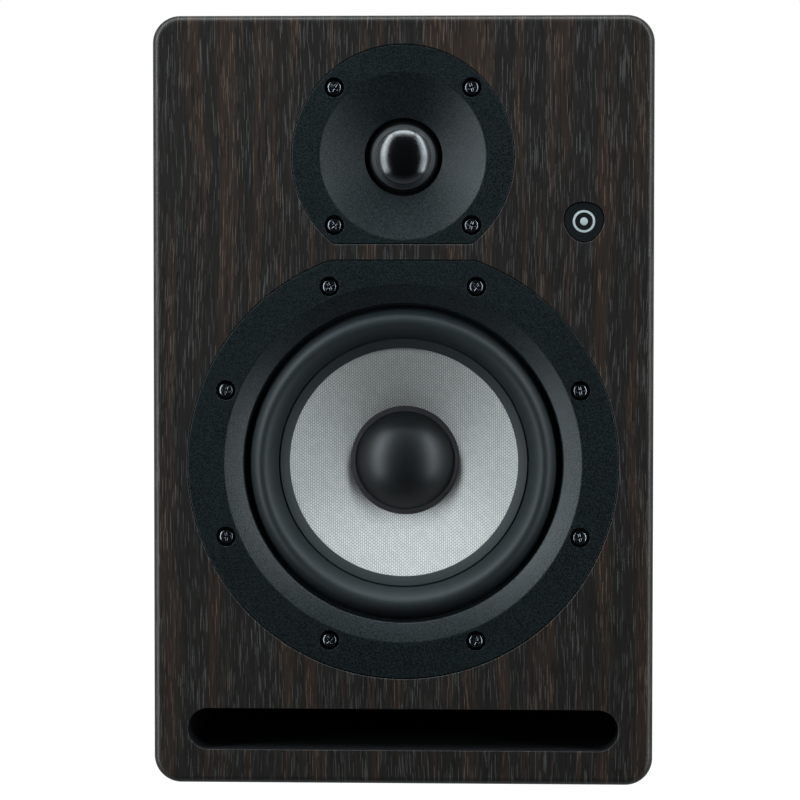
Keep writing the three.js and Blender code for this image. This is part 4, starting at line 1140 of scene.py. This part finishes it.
def woofer_lead(side):
    """Braided lead: a round section carried along a Catmull-Rom curve from the cone to the terminal strip."""
    sign = -1 if side == "left" else 1
    start = cone_depth(30) + 2.5
    knots = np.array([
        (sign * 6, start, -30), (sign * 8, start + 3, -37), (sign * 8, 31, -45), (sign * 8, 29.5, -51.2),
    ])
    ends = np.concatenate([[2 * knots[0] - knots[1]], knots, [2 * knots[-1] - knots[-2]]])
    t = np.linspace(0, 1, 12, endpoint=False)[:, None]
    curve = [
        0.5 * (2 * b + (c - a) * t + (2 * a - 5 * b + 4 * c - d) * t**2 + (3 * b - a - 3 * c + d) * t**3)
        for a, b, c, d in zip(ends, ends[1:], ends[2:], ends[3:])
    ]
    path = np.concatenate([*curve, knots[-1:]])
    ahead = np.gradient(path, axis=0)
    ahead /= np.linalg.norm(ahead, axis=1, keepdims=True)
    across = np.cross(ahead, [1.0, 0, 0])
    across /= np.linalg.norm(across, axis=1, keepdims=True)
    over = np.cross(ahead, across)
    path = path[[0, *range(len(path)), -1]]
    across, over = across[[0, *range(len(across)), -1]], over[[0, *range(len(over)), -1]]
    angle = np.arange(16) * TAU / 16
    radius = np.full(len(path), 0.78)
    radius[[0, -1]] = 0
    ring = across[:, None] * np.cos(angle)[None, :, None] + over[:, None] * np.sin(angle)[None, :, None]
    points = path[:, None] + ring * radius[:, None, None]
    node = f"woofer_{side}_lead"
    shell = Shell().grid(placed(points[..., [0, 2]], points[..., 1], WOOFER_AXIS))
    piece = shell.piece(f"woofer_{side}_braid", None, BRAID, [node], "copper_wire")
    top = WOOFER_AXIS[1] - 0.030
    return bent(piece, lambda place: (top - place[:, 2]) / 0.021)


# ---------------------------------------------------------------- build

front_baffle()
sleeve()
rear_panel()
badge()
woofer_plate()
tweeter_plate()
woofer_surround()
woofer_cone()
dust_cap()
woofer_spider()
tweeter_dome()
tweeter_surround()

WOOFER_TURNS = [10, 50, 25, 70, 5, 35, 60, 15]
TWEETER_TURNS = [20, 55, 40, 75]
for driver, places, turns in (
    ("woofer", WOOFER_SCREWS, WOOFER_TURNS),
    ("tweeter", TWEETER_SCREWS, TWEETER_TURNS),
):
    for i, (place, turn) in enumerate(zip(places, turns)):
        node = f"{driver}_screw_{i + 1}"
        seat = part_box(node)[0][1] + 1.9 * MM
        screw(node, (place[0], place[2]), seat, math.radians(turn), replaces=[node])

terminal_cup()
for post in ("positive_post", "negative_post"):
    post_cap(post)
    post_washer(post)
for side in ("left", "right"):
    damping_pad(side)
    woofer_lead(side)


# ---------------------------------------------------------------- floor, light and camera


def pale_floor():
    """White sheet under the object: it shows white, lets the low light through and throws none back."""
    mesh = bpy.data.meshes.new("floor")
    side = 6.0
    corners = [(-side, -side, 0), (side, -side, 0), (side, side, 0), (-side, side, 0)]
    mesh.from_pydata(corners, [], [(0, 1, 2, 3)])
    floor = bpy.data.objects.new("floor", mesh)
    bpy.context.scene.collection.objects.link(floor)
    f = Finish("floor", Roughness=0.9, Specular_IOR_Level=0.0, Base_Color=(0.1, 0.1, 0.1, 1))
    f.set(Emission_Color=(1.0, 1.0, 1.0), Emission_Strength=1.0)
    mesh.materials.append(f.material)
    floor.visible_diffuse = floor.visible_glossy = floor.visible_shadow = False


LIGHT_TINT = (0.90, 1.02, 1.08)  # a little cooler than the white behind


def soft_light(name, place, aim, size, radiance):
    """Rectangular soft box; its power is its radiance times pi times its area."""
    light = bpy.data.lights.new(name, "AREA")
    light.color = LIGHT_TINT
    light.shape = "RECTANGLE"
    light.size, light.size_y = size
    light.energy = radiance * math.pi * size[0] * size[1]
    lamp = bpy.data.objects.new(name, light)
    lamp.location = place
    lamp.rotation_euler = (Vector(aim) - Vector(place)).to_track_quat("-Z", "Y").to_euler()
    lamp.visible_camera = False
    bpy.context.scene.collection.objects.link(lamp)
    return lamp


def studio():
    """Tall soft boxes at both sides, a soft one and a gleam above, and a room dim ahead and pale behind."""
    for name, side, degrees, width, radiance in (
        ("left_light", -1, 58, 0.20, 18.6),
        ("right_light", 1, 59, 0.18, 16.6),
    ):
        bearing = math.radians(degrees)
        x, y = side * math.sin(bearing), FRONT - math.cos(bearing)
        soft_light(name, (x, y, 1.15), (0, FRONT, 1.15), (width, 1.6), radiance)
        low = soft_light(f"{name}_foot", (x, y, -0.03), (0, FRONT, -0.03), (width, 0.76), 0.7 * radiance)
        low.visible_diffuse = False
    soft_light("top_light", (0, FRONT - 0.38, 1.70), (0, FRONT, 0.28), (1.2, 0.36), 0.8)
    gleam = soft_light("top_gleam", (0, FRONT - 0.38, 1.67), (0, FRONT, 0.28), (1.2, 0.36), 12.0)
    gleam.visible_diffuse = False

    world = bpy.data.worlds.new("studio")
    bpy.context.scene.world = world
    world.use_nodes = True
    nodes, links = world.node_tree.nodes, world.node_tree.links
    seen = nodes["Background"]
    seen.inputs[0].default_value = (1, 1, 1, 1)
    seen.inputs[1].default_value = 1.0
    room = nodes.new("ShaderNodeBackground")
    room.inputs[0].default_value = (*LIGHT_TINT, 1)
    place = nodes.new("ShaderNodeTexCoord")
    split = nodes.new("ShaderNodeSeparateXYZ")
    fall = nodes.new("ShaderNodeMapRange")
    fall.inputs["From Min"].default_value = -0.55
    fall.inputs["From Max"].default_value = -0.30
    fall.inputs["To Min"].default_value = 0.03
    fall.inputs["To Max"].default_value = 0.55
    path = nodes.new("ShaderNodeLightPath")
    blend = nodes.new("ShaderNodeMixShader")
    links.new(place.outputs["Generated"], split.inputs[0])
    links.new(split.outputs["Y"], fall.inputs["Value"])
    links.new(fall.outputs[0], room.inputs[1])
    links.new(path.outputs["Is Camera Ray"], blend.inputs[0])
    links.new(room.outputs[0], blend.inputs[1])
    links.new(seen.outputs[0], blend.inputs[2])
    links.new(blend.outputs[0], nodes["World Output"].inputs[0])
    bpy.context.scene.view_settings.view_transform = "Standard"


def camera():
    """A little right of the axis and above the middle, turned back towards the cabinet."""
    data = bpy.data.cameras.new("camera")
    data.lens = 154.05
    data.sensor_width = 36
    data.clip_start, data.clip_end = 0.05, 50
    eye = bpy.data.objects.new("camera", data)
    yaw, pitch, roll = 0.04254, -0.0425, -0.0005
    turn = (
        Matrix.Rotation(yaw, 4, "Z")
        @ Matrix.Rotation(math.pi / 2 + pitch, 4, "X")
        @ Matrix.Rotation(-roll, 4, "Z")
    )
    eye.matrix_world = Matrix.Translation((0.0627, FRONT - 1.5, 0.2335)) @ turn
    bpy.context.scene.collection.objects.link(eye)
    bpy.context.scene.camera = eye


pale_floor()
studio()
camera()
